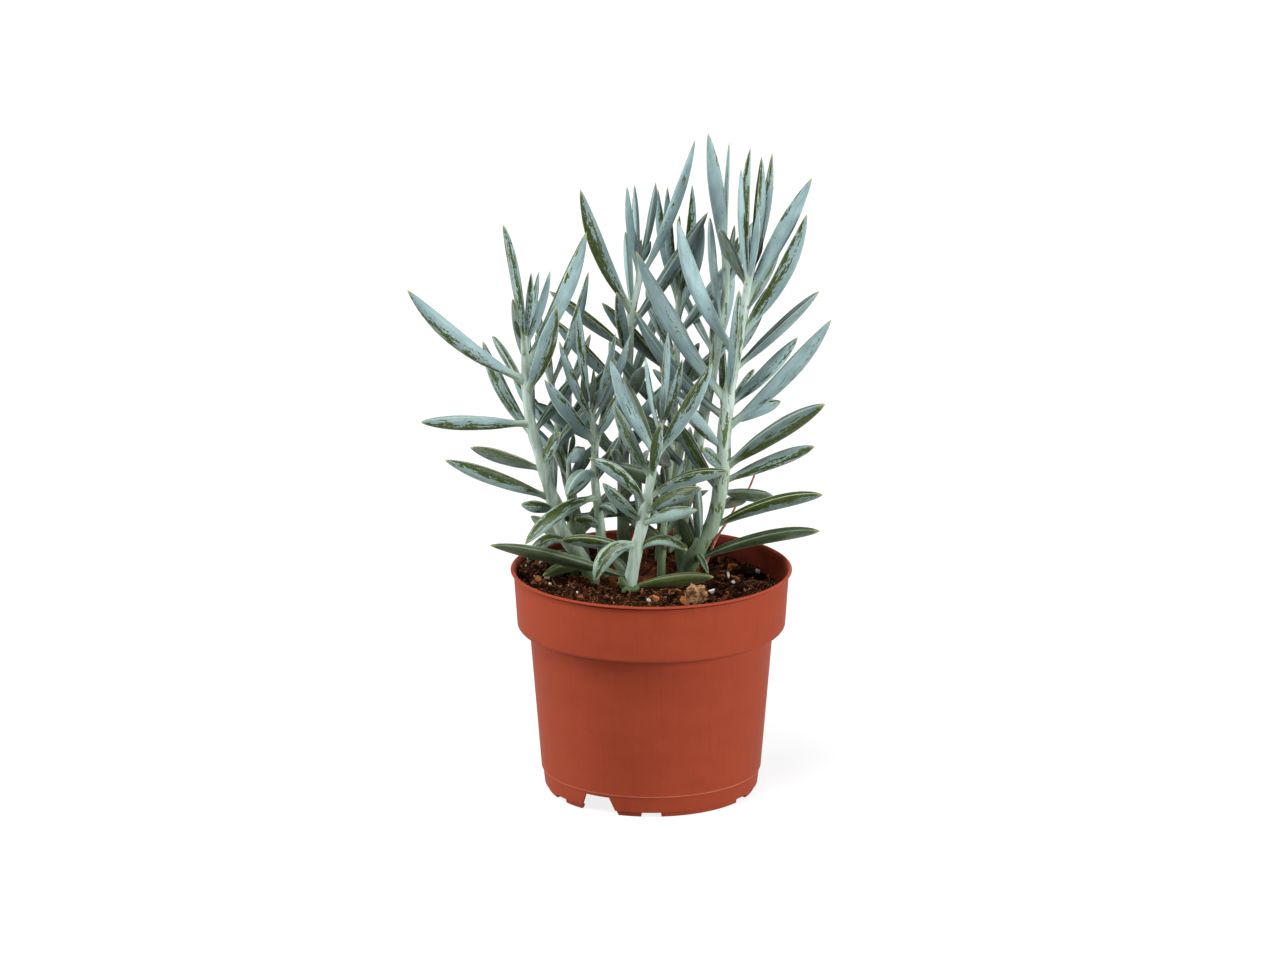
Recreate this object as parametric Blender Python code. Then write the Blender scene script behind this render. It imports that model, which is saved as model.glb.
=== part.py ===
"""A potted blue chalk-stick succulent: leafy stems rooted in peat, in a plastic nursery pot.

The frame: Z up, the origin on the pot's axis in the plane that it stands on, and -Y towards the viewer.
"""

import math
import random
from dataclasses import dataclass

import bmesh
import bpy
from mathutils import Matrix, Vector, noise
from mathutils.bvhtree import BVHTree

MM = 0.001

# The pot, as radius and height in millimetres
POT_SIDES = 48
RIM_RADIUS, POT_HEIGHT = 60.0, 97.3
COLLAR_FOOT_RADIUS, COLLAR_FOOT_HEIGHT = 57.2, 71.6
WALL_TOP_RADIUS, WALL_FOOT_RADIUS = 52.1, 47.1
SEAM_HEIGHT = 9.5
FOOT_RADIUS, FOOT_WIDTH, FOOT_RISE = 44.4, 1.9, 2.0
FLOOR_HEIGHT, CENTRE_PAD_RADIUS = 8.6, 16.0
WALL, FLOOR = 1.3, 1.6
LIP_OUT, LIP_DEPTH, LIP_WIDTH, LIP_ROUNDING = 1.3, 1.9, 1.7, 0.5
DRAIN_HOLES, DRAIN_SIDES, DRAIN_RADIUS, DRAIN_CIRCLE = 8, 12, 4.0, 30.0
FOOT_NOTCHES, FOOT_NOTCH_WIDTH, FOOT_NOTCH_TURN = 6, 8.0, -90.0
DRAIN_SLOT_ANGLES = (-120.0, 60.0)
DRAIN_SLOT_WIDTH, DRAIN_SLOT_NARROW, DRAIN_SLOT_HEIGHT = 19.0, 11.6, 8.0

# The peat
GAP = 0.3
SOIL_SIDES, SOIL_RINGS = 40, 9
SOIL_HEIGHT, SOIL_SLOPE = 90.0, 0.055
CLOD_SIZE, CLOD_RELIEF = 15.0, 2.6

# The stems and leaves
SEED = 20
STEM_SIDES, STEM_STEP = 6, 11.0
ROOT_DEPTH = 14.0
GOLDEN_ANGLE = math.radians(137.5)
LEAF_OUTLINE = ((0.0, 0.32), (0.14, 0.48), (0.36, 0.88), (0.62, 1.0), (0.86, 0.62))
LEAF_THICKNESS = 0.54
YOUNG_WITHIN, YOUNG_WIDTH = 12.0, 0.64
BUD_LEAVES, BUD_LENGTH, BUD_RISE = 3, 15.0, math.radians(76)
FILL_EVERY, FILL_ABOVE_SOIL = 4.0, 10.0
FILL_LOW_RISE, FILL_MORE_RISE, FILL_LENGTH, FILL_MORE_LENGTH = 12.0, 52.0, 30.0, 24.0
FILL_APART, FILL_TURNED, FILL_FAR_SIDE, FILL_STICKS_OUT = 9.0, 0.8, 0.55, 12.0
CLEARANCE = 0.45
CLEAR_ROUNDS, CLEAR_STEP = 160, 0.7
SEEN_YIELDS = 0.35


@dataclass
class Stem:
    """A leafy stem. Points and leaves are in millimetres. A leaf is its height on the stem, how far its
    tip lies to the right, back and up from there, and where they are marked, its bow and its width.
    Up to the height hidden_to, other stems hide this one's near side."""

    name: str
    thick: float
    hidden_to: float
    path: list
    leaves: list


STEMS = (
    Stem("left", 6.2, 0,
         [(-25, 8, 90), (-31, 6, 101), (-38, 4, 112), (-43, 2, 130), (-46.5, 0, 144), (-51, -2, 161),
          (-53, -3, 179), (-53.5, -4, 200)],
         [(180, -49, -18, 44, 0.055), (161, -46, -20, 6, 0.0), (127, -45, -15, 21, 0.0),
          (140, -32, 18, 5, 0.0), (176, -15, 26, 17), (155, -22, 12, 39, 0.07),
          (192, -8.5, -14, 59, -0.03, 7.2), (197, 3, -3, 31), (197, 6, 6, 29), (194, 11, -4, 35),
          (187, 26, 8, 56, 0.045), (175, 13, -15, 41, 0.05, 7.8), (143, 8, -12, 17, 0.0, 7.4),
          (157, 20, 20, 22), (122, -14, -18, 7, 0.0), (105, -19, -15, -3, -0.27),
          (96, -18, -16, 0, -0.04), (101, -17, -4, -3, -0.08)]),
    Stem("left_back", 5.0, 150,
         [(-28, 25, 90), (-32, 25, 112), (-37, 24, 134), (-40.5, 23, 158), (-44, 22, 181)],
         [(172, 16, -2, 50), (178, -6, 4, 34), (148, -20, 8, 24), (150, 20, -2, 28),
          (138, -16, 10, 14), (128, 14, -10, 16)]),
    Stem("front_left", 4.4, 0,
         [(-20, 12, 90), (-22, 9, 115), (-24, 6, 134), (-24, 4, 152), (-26, 1, 170)],
         [(167, -5, 4, 43), (160, -14, -12, 39), (163, 10, -6, 38), (160, 16, 0, 39),
          (153, 11, -16, 25, 0.05, 6.2), (151, -21, -20, 33), (137, -12, -18, -5, -0.12, 8.0),
          (126, -30, -34, -11, -0.09), (121, 8, -9, 0, -0.10, 5.4), (111, -11, -10, 8, -0.10),
          (133, 10, 8, 18), (116, 16, 12, 12)]),
    Stem("front", 5.6, 0,
         [(-10, -17, 90), (-6.4, -17, 110), (-3.4, -17, 123), (-1, -17.5, 136), (0.6, -18, 147),
          (2.5, -19, 156), (4.5, -20, 168)],
         [(142, 4, -14, 27, 0.03, 6.2), (152, -19, -4, 42), (161, -6, -8, 36), (164, 3, 6, 40),
          (164, 9, -4, 31), (151, 24, -12, 44), (133, 34, -10, 14, -0.06), (126, 24, -22, 17, -0.03),
          (121, 23, -24, 13, -0.03), (108, 22, -6, 3, -0.23), (93, 36, -4, 6, -0.02),
          (112, -18, -14, -12, -0.23, 7.2), (129, -24, -18, 26, -0.08), (122, -17, -10, 20),
          (142, -16, -10, 35), (97, -60, 10, 12, -0.02, 6.6), (109, -32, 10, 2, -0.04),
          (97, -8, 9, 7)]),
    Stem("right", 7.0, 0,
         [(14, 10, 90), (20.5, 8, 104), (26, 7, 114), (28.5, 6, 125), (30.5, 5, 140), (31, 4, 155),
          (32.5, 2.5, 171), (35.5, 1, 190), (38.5, 0, 207), (41, 0, 223), (42, 0, 230)],
         [(157, 44.5, -8, 50, 0.04), (183, 37, 20, 30, 0.01), (167, 30, 10, 28, 0.03), (166, 12, 22, 12),
          (159, 24, 20, 5), (139, 43, -12, 32, -0.02, 8.6), (133, 40, 4, 15, -0.01), (129, 24, 18, -8, 0.0),
          (121, 14, 20, 0), (112, 48, -10, 18, -0.05), (97, 55, 2, 13, -0.05), (101, 5, -14, -5),
          (171, 5, -12, 52, 0.03, 7.6), (191, -25, -12, 61, 0.07), (169, -39, -8, 68, 0.04),
          (162, -39, 14, 44, 0.08), (148, -20, -10, 26), (139, -9, -14, 13, 0.0, 6.6),
          (129, -20, 8, 32), (220, -3, -4, 52), (224, 0.5, 0, 56), (223, 4.4, 1, 53, 0.03, 5.4),
          (221, 9, 10, 55), (221, 4, -7, 34), (219, 12, 15, 41, -0.06), (214, 27.5, -4, 54, 0.0),
          (199, 28, -6, 54, 0.06), (208, 16, 18, 26), (189, 14, 8, 29), (101, -7, 0, 17),
          (104, 1, -6, 29, 0.0, 7.8)]),
    Stem("tall_left", 5.6, 170,
         [(-12, 30, 90), (-12, 29, 118), (-12, 28, 141), (-10.6, 27, 163), (-9.7, 26, 184),
          (-8.5, 25, 201), (-5.5, 25, 216), (-5, 25, 226)],
         [(219, -5, -5, 40), (222, -2, 6, 35), (223, 7, 3, 36), (216, 24, -4, 63), (203, -22, -6, 55, 0.05),
          (203, -3, 14, 32), (182, -5, -14, 33), (196, 33, 8, 49, 0.02), (186, -34, 8, 24),
          (167, -32, 4, 32), (150, 22, -6, 26), (135, -18, 4, 22), (141, -38, -14, 26, 0.02)]),
    Stem("back", 5.0, 180,
         [(4, 37, 90), (6, 37, 120), (9, 37, 150), (10.5, 36, 178), (11.6, 36, 202), (12, 36, 212)],
         [(204, -9, 2, 50), (207, -5, -3, 49), (207, 6, 1, 49), (209, 0, -7, 34), (199, 9, -4, 42),
          (190, 24, -6, 36), (180, -13, 10, 28), (165, 24, 4, 22)]),
    Stem("tall_right", 6.0, 172,
         [(14, 23, 90), (12.5, 23, 107), (16.8, 23, 129), (21, 24, 151), (25.4, 24, 173),
          (28.4, 24, 191), (31.2, 24, 209), (32, 24, 227)],
         [(222, -8, -4, 60, 0.0, 7.2), (205, 2.2, 10, 70, -0.04, 4.4), (198, -5, -10, 49), (214, 12, 12, 26),
          (186, 8, 20, 30), (170, -18, -6, 40)]),
    Stem("low_left", 4.0, 118,
         [(-33, 15, 90), (-34.5, 15, 118), (-35.5, 14, 144)],
         [(140, 7, -9, 8, 0.0, 6.6), (132, -7, 9, 15), (124, 9, 10, 12), (113, -9, -5, 9)]),
    Stem("low_middle", 3.8, 130,
         [(4, 3, 90), (5, 3, 110), (7, 4, 130)],
         [(126, -7, -4, 18), (124, 8, 2, 20), (116, -12, 2, 10), (110, 8, 10, 8)]),
)


@dataclass
class Leaf:
    """One leaf: base on its stem's axis, reach from there to the tip, and its mesh for the tests."""

    stem: int
    base: Vector
    reach: Vector
    bow: float
    width: float
    roll: float
    seen: bool


def curve_points(points, step):
    """Points about a step apart on a smooth curve through the given ones."""
    knots = [Vector(p) for p in points]
    knots = [2 * knots[0] - knots[1]] + knots + [2 * knots[-1] - knots[-2]]
    line = []
    for a, b, c, d in zip(knots, knots[1:], knots[2:], knots[3:]):
        count = max(1, round((c - b).length / step))
        for i in range(count):
            t = i / count
            line.append(0.5 * (2 * b + (c - a) * t + (2 * a - 5 * b + 4 * c - d) * t ** 2
                               + (3 * b - 3 * c + d - a) * t ** 3))
    return line + [knots[-2]]


def stem_line(stem):
    """The stem's axis from its root end, in the peat, to its tip."""
    line = curve_points(stem.path, STEM_STEP)
    return [line[0] - Vector((0, 0, ROOT_DEPTH))] + line


def at_height(line, height):
    """The point of a line at a height, or its end if the line stops below that."""
    for a, b in zip(line, line[1:]):
        if b.z >= height:
            return a.lerp(b, (height - a.z) / (b.z - a.z))
    return line[-1].copy()


def default_bow(reach):
    """Leaves that point up curve in towards their stem, and level ones arch over."""
    rise = reach.z / reach.length
    return 0.06 * (rise - 0.35)


def leaf_width(length, young):
    """Longer leaves are wider, and those still growing at the tip are slim."""
    full = min(7.6, 4.3 + 0.048 * length)
    return full * (YOUNG_WIDTH if young else 1.0)


def seen_leaves(index, stem, line, draw):
    """The leaves that the photograph shows, from the stem's own list."""
    for height, right, back, up, *marked in stem.leaves:
        reach = Vector((right, back, up))
        young = height > line[-1].z - YOUNG_WITHIN
        bow = marked[0] if marked else default_bow(reach)
        width = marked[1] if len(marked) > 1 else leaf_width(reach.length, young)
        yield Leaf(index, at_height(line, height), reach, bow, width, draw.uniform(-0.2, 0.2), True)


def spiral_leaves(index, stem, line, seen, draw):
    """Leaves out of sight, a golden angle apart up the stem, wherever the spiral isn't filled yet."""
    low, high = line[1].z + FILL_ABOVE_SOIL, line[-1].z - YOUNG_WITHIN
    heading, height = draw.uniform(0, 2 * math.pi), low
    while height < high:
        heading += GOLDEN_ANGLE
        height += FILL_EVERY
        share = (height - low) / (line[-1].z - low)
        rise = math.radians(FILL_LOW_RISE + FILL_MORE_RISE * share + draw.uniform(-6, 6))
        swell = math.sin(math.pi * min(1.0, share + 0.12))
        length = FILL_LENGTH + FILL_MORE_LENGTH * swell + draw.uniform(-4, 4)
        reach = Vector((math.cos(heading) * math.cos(rise), math.sin(heading) * math.cos(rise),
                        math.sin(rise))) * length
        base = at_height(line, height)
        taken = any(abs(leaf.base.z - height) < FILL_APART
                    and leaf.reach.xy.angle(reach.xy, 0) < FILL_TURNED for leaf in seen)
        hidden = math.sin(heading) > FILL_FAR_SIDE or height < stem.hidden_to
        sticks_out = abs((base + reach).x) - abs(base.x) > FILL_STICKS_OUT
        if hidden and not taken and not sticks_out:
            yield Leaf(index, base, reach, default_bow(reach), leaf_width(length, False),
                       draw.uniform(-0.3, 0.3), False)


def bud_leaves(index, line, draw):
    """The short young leaves that close the tip."""
    turn = draw.uniform(0, 2 * math.pi)
    for i in range(BUD_LEAVES):
        heading = turn + i * 2 * math.pi / BUD_LEAVES
        flat = math.cos(BUD_RISE)
        reach = Vector((math.cos(heading) * flat, math.sin(heading) * flat, math.sin(BUD_RISE)))
        reach *= BUD_LENGTH * draw.uniform(0.75, 1.2)
        yield Leaf(index, line[-1] - Vector((0, 0, 3)), reach, 0.04, 2.6, 0.0, False)


def leaf_frame(leaf, u):
    """The middle of the leaf at the share u of its length, with the directions of its width and of its
    thickness. The blades stand on edge: their width lies in the upright plane through the stem."""
    along = leaf.reach.normalized()
    side = along.cross(Vector((0, 0, 1)))
    if side.length < 0.05:
        side = along.cross(Vector((1, 0, 0)))
    side.normalize()
    inward = side.cross(along)
    sag = leaf.bow * leaf.reach.length
    middle = leaf.base + leaf.reach * u - inward * (sag * 4 * u * (1 - u))
    tangent = (leaf.reach - inward * (sag * 4 * (1 - 2 * u))).normalized()
    across = Matrix.Rotation(leaf.roll, 3, tangent) @ side.cross(tangent)
    return middle, across, across.cross(tangent)


def leaf_shape(leaf, grow=0.0, start=0.0):
    """(points, faces) of the leaf as a keeled blade, four-sided in section."""
    points = []
    for u, share in LEAF_OUTLINE:
        if u < start:
            continue
        middle, across, face = leaf_frame(leaf, u)
        half = 0.5 * leaf.width * share + grow
        deep = 0.5 * leaf.width * LEAF_THICKNESS * (0.35 + 0.65 * share) + grow
        points += [middle + across * half, middle - face * deep, middle - across * half,
                   middle + face * deep]
    points.append(leaf_frame(leaf, 1.0)[0] + leaf.reach.normalized() * grow)
    rings, tip = len(points) // 4, len(points) - 1
    faces = [(3, 2, 1, 0)]
    for ring in range(rings - 1):
        for k in range(4):
            a, b = ring * 4 + k, ring * 4 + (k + 1) % 4
            faces.append((a, b, b + 4, a + 4))
    last = (rings - 1) * 4
    faces += [(last + k, last + (k + 1) % 4, tip) for k in range(4)]
    return points, faces


def tube_shape(line, radii, sides):
    """(points, faces) of a tube round a line, closed at both ends."""
    points, faces = [], []
    for i, (p, radius) in enumerate(zip(line, radii)):
        ahead = (line[min(i + 1, len(line) - 1)] - line[max(i - 1, 0)]).normalized()
        across = ahead.cross(Vector((0, 1, 0))).normalized()
        other = ahead.cross(across)
        for k in range(sides):
            turn = 2 * math.pi * k / sides
            points.append(p + (across * math.cos(turn) + other * math.sin(turn)) * radius)
    for i in range(len(line) - 1):
        for k in range(sides):
            a, b = i * sides + k, i * sides + (k + 1) % sides
            faces.append((a, b, b + sides, a + sides))
    last = (len(line) - 1) * sides
    faces.append(tuple(reversed(range(sides))))
    faces.append(tuple(range(last, last + sides)))
    return points, faces


def stem_radii(stem, line):
    """Thick at the foot, with a gentle taper to the growing tip."""
    last = len(line) - 1
    return [0.5 * stem.thick * (1 - 0.55 * (i / last) ** 1.6) for i in range(last + 1)]


def soil_height(x, y):
    """The top of the peat: lumpy, highest at the front left and lower at the back right."""
    p = Vector((x / CLOD_SIZE, y / CLOD_SIZE, 3.0))
    lumps = noise.noise(p) + 0.5 * noise.noise(p * 2.1)
    return SOIL_HEIGHT - SOIL_SLOPE * (0.8 * x + 0.6 * y) + CLOD_RELIEF * lumps


def tree_of(shape, lift=0.0):
    """The shape, raised by lift, ready for tests of what crosses it."""
    points, faces = shape
    return BVHTree.FromPolygons([p + Vector((0, 0, lift)) for p in points], faces)


def nearest_shares(a, b):
    """Where along leaf a and leaf b their middles come nearest."""
    shares = [0.1, 0.25, 0.4, 0.55, 0.7, 0.85, 1.0]
    pairs = [((leaf_frame(a, u)[0] - leaf_frame(b, v)[0]).length, u, v) for u in shares for v in shares]
    return min(pairs)[1:]


def push(leaf, share, away):
    """Swings a leaf about its base, so that it moves away at that share of its length."""
    give = CLEAR_STEP * (SEEN_YIELDS if leaf.seen else 1.0)
    length = leaf.reach.length
    leaf.reach = (leaf.reach + away * (give / max(share, 0.3))).normalized() * length


def push_off_line(leaf, line):
    """Swings a leaf away from a stem that it meets."""
    gaps = []
    for share in (0.4, 0.6, 0.8, 1.0):
        p = leaf_frame(leaf, share)[0]
        near = at_height(line, p.z)
        gaps.append(((p - near).length, share, p - near))
    _, share, away = min(gaps, key=lambda gap: gap[0])
    push(leaf, share, away.normalized())


def boxes_meet(a, b):
    return all(a[0][i] < b[1][i] and b[0][i] < a[1][i] for i in range(3))


def box_of(points):
    return [min(p[i] for p in points) for i in range(3)], [max(p[i] for p in points) for i in range(3)]


class Tested:
    """A leaf's slightly grown mesh, whole and without its root end, kept for the clearing rounds."""

    def __init__(self, leaf):
        shape = leaf_shape(leaf, CLEARANCE)
        self.box = box_of(shape[0])
        self.whole = tree_of(shape)
        self.outer = tree_of(leaf_shape(leaf, CLEARANCE, 0.3))


def clear_leaves(leaves, lines, fixed):
    """Bends leaves a little at a time until none meets a leaf, a stem, the pot or the peat. The seen
    leaves are cleared first and then hold still. Returns the leaves that end clear of the rest."""
    stems = [tree_of(tube_shape(line, [r + CLEARANCE for r in radii], STEM_SIDES))
             for line, radii in lines]
    leaves = sorted(leaves, key=lambda leaf: not leaf.seen)
    seen_count = sum(leaf.seen for leaf in leaves)
    tested = [Tested(leaf) for leaf in leaves]
    crossing = bend_clear(leaves, tested, range(seen_count), lines, stems, fixed)
    crossing = bend_clear(leaves, tested, range(seen_count, len(leaves)), lines, stems, fixed)
    return [leaf for i, leaf in enumerate(leaves) if i not in crossing]


def bend_clear(leaves, tested, moving, lines, stems, fixed):
    """Bends the leaves of the moving range off those up to its end. Returns the ones that still cross."""
    for _ in range(CLEAR_ROUNDS):
        met = set()
        for i in moving:
            leaf = leaves[i]
            for j in range(i):
                other = leaves[j]
                if not boxes_meet(tested[i].box, tested[j].box):
                    continue
                same = leaf.stem == other.stem
                mine = tested[i].outer if same else tested[i].whole
                its = tested[j].outer if same else tested[j].whole
                if mine.overlap(its):
                    u, v = nearest_shares(leaf, other)
                    away = leaf_frame(leaf, u)[0] - leaf_frame(other, v)[0]
                    if away.length < 0.2:
                        away = leaf.reach.cross(other.reach)
                    away.normalize()
                    push(leaf, u, away)
                    if j in moving:
                        push(other, v, -away)
                    met |= {i, j}
            for k, tree in enumerate(stems):
                mine = tested[i].outer if k == leaf.stem else tested[i].whole
                if mine.overlap(tree):
                    push_off_line(leaf, lines[k][0])
                    met.add(i)
            if tested[i].outer.overlap(fixed):
                push(leaf, 0.6, Vector((0, 0, 1)))
                met.add(i)
        met &= set(moving)
        for i in met:
            tested[i] = Tested(leaves[i])
        if not met:
            break
    return met


def plan_plant(fixed):
    """Every stem's line and radii, and every leaf in its final place, all in millimetres."""
    lines, leaves = [], []
    for index, stem in enumerate(STEMS):
        draw = random.Random(SEED + index)
        line = stem_line(stem)
        lines.append((line, stem_radii(stem, line)))
        seen = list(seen_leaves(index, stem, line, draw))
        leaves += seen + list(spiral_leaves(index, stem, line, seen, draw))
        leaves += list(bud_leaves(index, line, draw))
    return lines, clear_leaves(leaves, lines, fixed)


def clear_scene():
    """Removes what the scene holds at the start."""
    for old in list(bpy.data.objects):
        bpy.data.objects.remove(old)


def plain_material(name, colour, roughness):
    material = bpy.data.materials.new(name)
    material.use_nodes = True
    shader = material.node_tree.nodes["Principled BSDF"]
    shader.inputs["Base Color"].default_value = (*colour, 1)
    shader.inputs["Roughness"].default_value = roughness
    shader.inputs["Metallic"].default_value = 0.0
    return material


def object_of(name, shape, material):
    """A mesh object from (points, faces) in millimetres."""
    points, faces = shape
    mesh = bpy.data.meshes.new(name)
    mesh.from_pydata([p * MM for p in points], [], faces)
    if material:
        mesh.materials.append(material)
    made = bpy.data.objects.new(name, mesh)
    bpy.context.scene.collection.objects.link(made)
    return made


def turned_shape(profile, sides):
    """(points, faces) of a closed profile of (radius, height) points turned about Z. It starts and ends
    on the axis, and runs up the outside."""
    points, rings = [], []
    for radius, height in profile:
        count = sides if radius > 0 else 1
        rings.append(list(range(len(points), len(points) + count)))
        for k in range(count):
            turn = 2 * math.pi * k / sides
            points.append(Vector((radius * math.cos(turn), radius * math.sin(turn), height)))
    faces = []
    for low, high in zip(rings, rings[1:]):
        for k in range(sides):
            after = (k + 1) % sides
            a, b = low[k % len(low)], low[after % len(low)]
            c, d = high[after % len(high)], high[k % len(high)]
            faces.append(tuple(dict.fromkeys((a, b, c, d))))
    return points, faces


def pot_profile():
    """Up the outside from the middle of the base to the lip, and down the inside."""
    lip = POT_HEIGHT
    collar_top = RIM_RADIUS - LIP_OUT
    foot_in = FOOT_RADIUS - FOOT_WIDTH
    floor = FLOOR_HEIGHT + FLOOR
    return [
        (0, 0), (CENTRE_PAD_RADIUS, 0), (CENTRE_PAD_RADIUS + 2, FLOOR_HEIGHT),
        (WALL_FOOT_RADIUS - 2, FLOOR_HEIGHT), (foot_in + 1.7, FOOT_RISE + 0.6), (foot_in, FOOT_RISE - 0.4),
        (foot_in, 0), (FOOT_RADIUS, 0), (FOOT_RADIUS + 0.2, FOOT_RISE),
        (FOOT_RADIUS + 1.3, FOOT_RISE + 0.2), (WALL_FOOT_RADIUS - 0.6, SEAM_HEIGHT - 0.4),
        (WALL_FOOT_RADIUS, SEAM_HEIGHT), (WALL_TOP_RADIUS, COLLAR_FOOT_HEIGHT),
        (COLLAR_FOOT_RADIUS - 0.9, COLLAR_FOOT_HEIGHT), (COLLAR_FOOT_RADIUS, COLLAR_FOOT_HEIGHT + 1.2),
        (collar_top, lip - LIP_DEPTH - 1.1), (RIM_RADIUS, lip - LIP_DEPTH),
        (RIM_RADIUS, lip - LIP_ROUNDING),
        (RIM_RADIUS - LIP_ROUNDING, lip), (RIM_RADIUS - LIP_WIDTH, lip), (collar_top - WALL, lip - 1.8),
        (COLLAR_FOOT_RADIUS - WALL, COLLAR_FOOT_HEIGHT + 1.6),
        (WALL_TOP_RADIUS - WALL, COLLAR_FOOT_HEIGHT + 1.2), (WALL_FOOT_RADIUS - WALL, floor + 1),
        (WALL_FOOT_RADIUS - WALL - 1, floor), (CENTRE_PAD_RADIUS + 0.8, floor),
        (CENTRE_PAD_RADIUS - 1.2, FLOOR), (0, FLOOR),
    ]


def wedge_cutter(name, angle, wide, narrow, low, high, inner, outer):
    """A slot cutter across the pot's foot, wider at its bottom, with hide_render set."""
    out = Vector((math.cos(angle), math.sin(angle), 0))
    side = Vector((-out.y, out.x, 0))
    points = []
    for radius in (inner, outer):
        for half, height in ((wide / 2, low), (narrow / 2, high)):
            points += [out * radius - side * half + Vector((0, 0, height)),
                       out * radius + side * half + Vector((0, 0, height))]
    faces = [(0, 1, 3, 2), (4, 6, 7, 5), (0, 4, 5, 1), (2, 3, 7, 6), (0, 2, 6, 4), (1, 5, 7, 3)]
    return as_cutter(object_of(name, (points, faces), None))


def round_cutter(name, x, y, radius, low, high, sides):
    """An upright round cutter between two heights."""
    mesh = bmesh.new()
    place = Matrix.Translation(Vector((x, y, (low + high) / 2)) * MM)
    bmesh.ops.create_cone(mesh, cap_ends=True, segments=sides, radius1=radius * MM, radius2=radius * MM,
                          depth=(high - low) * MM, matrix=place)
    data = bpy.data.meshes.new(name)
    mesh.to_mesh(data)
    mesh.free()
    made = bpy.data.objects.new(name, data)
    bpy.context.scene.collection.objects.link(made)
    return as_cutter(made)


def as_cutter(made):
    """Faces out, out of the render, and drawn as wire."""
    mesh = bmesh.new()
    mesh.from_mesh(made.data)
    bmesh.ops.recalc_face_normals(mesh, faces=mesh.faces)
    mesh.to_mesh(made.data)
    mesh.free()
    made.hide_render = True
    made.display_type = "WIRE"
    return made


def combine(body, others, operation, solver):
    """Applies one Boolean of a body with a collection of others, and removes the others."""
    group = bpy.data.collections.new(body.name + "_others")
    bpy.context.scene.collection.children.link(group)
    for other in others:
        bpy.context.scene.collection.objects.unlink(other)
        group.objects.link(other)
    change = body.modifiers.new(operation.lower(), "BOOLEAN")
    change.operation = operation
    change.operand_type = "COLLECTION"
    change.collection = group
    change.solver = solver
    graph = bpy.context.evaluated_depsgraph_get()
    result = bpy.data.meshes.new_from_object(body.evaluated_get(graph))
    body.modifiers.clear()
    body.data = result
    for other in others:
        bpy.data.objects.remove(other)
    bpy.data.collections.remove(group)


def make_pot(material):
    """The thin pot, with round drain holes in its floor, notches in its foot ring and two slots beside it."""
    pot = object_of("pot", turned_shape(pot_profile(), POT_SIDES), material)
    inner, outer = FOOT_RADIUS - 6, FOOT_RADIUS + 8
    cutters = []
    for k in range(DRAIN_HOLES):
        turn = 2 * math.pi * (k + 0.5) / DRAIN_HOLES
        x, y = DRAIN_CIRCLE * math.cos(turn), DRAIN_CIRCLE * math.sin(turn)
        cutters.append(round_cutter(f"drain_hole_{k}", x, y, DRAIN_RADIUS, FLOOR_HEIGHT - 3,
                                    FLOOR_HEIGHT + 5, DRAIN_SIDES))
    for k in range(FOOT_NOTCHES):
        angle = math.radians(FOOT_NOTCH_TURN + 360 * k / FOOT_NOTCHES)
        cutters.append(wedge_cutter(f"foot_notch_{k}", angle, FOOT_NOTCH_WIDTH + 1, FOOT_NOTCH_WIDTH,
                                    -1, FOOT_RISE - 0.1, inner + 1, outer - 3))
    for k, angle in enumerate(DRAIN_SLOT_ANGLES):
        cutters.append(wedge_cutter(f"drain_slot_{k}", math.radians(angle), DRAIN_SLOT_WIDTH,
                                    DRAIN_SLOT_NARROW, -1, DRAIN_SLOT_HEIGHT, inner, outer))
    combine(pot, cutters, "DIFFERENCE", "EXACT")
    return pot


def soil_shape():
    """(points, faces) of the peat: a plug that fills the pot, with a lumpy top."""
    bed = FLOOR_HEIGHT + FLOOR + GAP
    inner = [
        (CENTRE_PAD_RADIUS - 1.6, FLOOR + GAP), (CENTRE_PAD_RADIUS + 0.4, bed),
        (WALL_FOOT_RADIUS - WALL - 1.4, bed), (WALL_FOOT_RADIUS - WALL - 0.5, bed + 1),
        (WALL_TOP_RADIUS - WALL - 0.5, COLLAR_FOOT_HEIGHT + 2.0),
        (COLLAR_FOOT_RADIUS - WALL - 0.5, COLLAR_FOOT_HEIGHT + 2.2),
    ]
    edge = COLLAR_FOOT_RADIUS - WALL + 0.25
    rings = [(edge * (SOIL_RINGS - k) / SOIL_RINGS, SOIL_HEIGHT) for k in range(SOIL_RINGS)]
    points, faces = turned_shape([(0, inner[0][1])] + inner + rings + [(0, SOIL_HEIGHT)], SOIL_SIDES)
    first_top = 1 + len(inner) * SOIL_SIDES
    for p in points[first_top:]:
        p.z = soil_height(p.x, p.y)
    return points, faces


def make_soil(material, lines):
    """The peat, with a plain hole for each stem."""
    soil = object_of("soil", soil_shape(), material)
    cutters = []
    for k, (line, radii) in enumerate(lines):
        around = [line[0] - Vector((0, 0, GAP))] + line[1:4]
        wider = [radius + GAP * 1.2 for radius in radii[:4]]
        cutters.append(as_cutter(object_of(f"stem_hole_{k}", tube_shape(around, wider, STEM_SIDES), None)))
    combine(soil, cutters, "DIFFERENCE", "EXACT")
    return soil


def make_stem(index, stem, lines, leaves, material):
    """One node: the stem with its leaves joined to it."""
    line, radii = lines[index]
    body = object_of("stem_" + stem.name, tube_shape(line, radii, STEM_SIDES), material)
    own = [leaf for leaf in leaves if leaf.stem == index]
    pieces = [object_of(f"{stem.name}_leaf_{k}", leaf_shape(leaf), material) for k, leaf in enumerate(own)]
    combine(body, pieces, "UNION", "MANIFOLD")
    return body


def clearing_obstacle():
    """The pot and the peat as one mesh, for the leaves to keep off."""
    pot_points, pot_faces = turned_shape(pot_profile(), POT_SIDES)
    soil_points, soil_faces = soil_shape()
    shift = len(pot_points)
    faces = pot_faces + [tuple(i + shift for i in face) for face in soil_faces]
    return tree_of((pot_points + soil_points, faces), 0.5)


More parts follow.
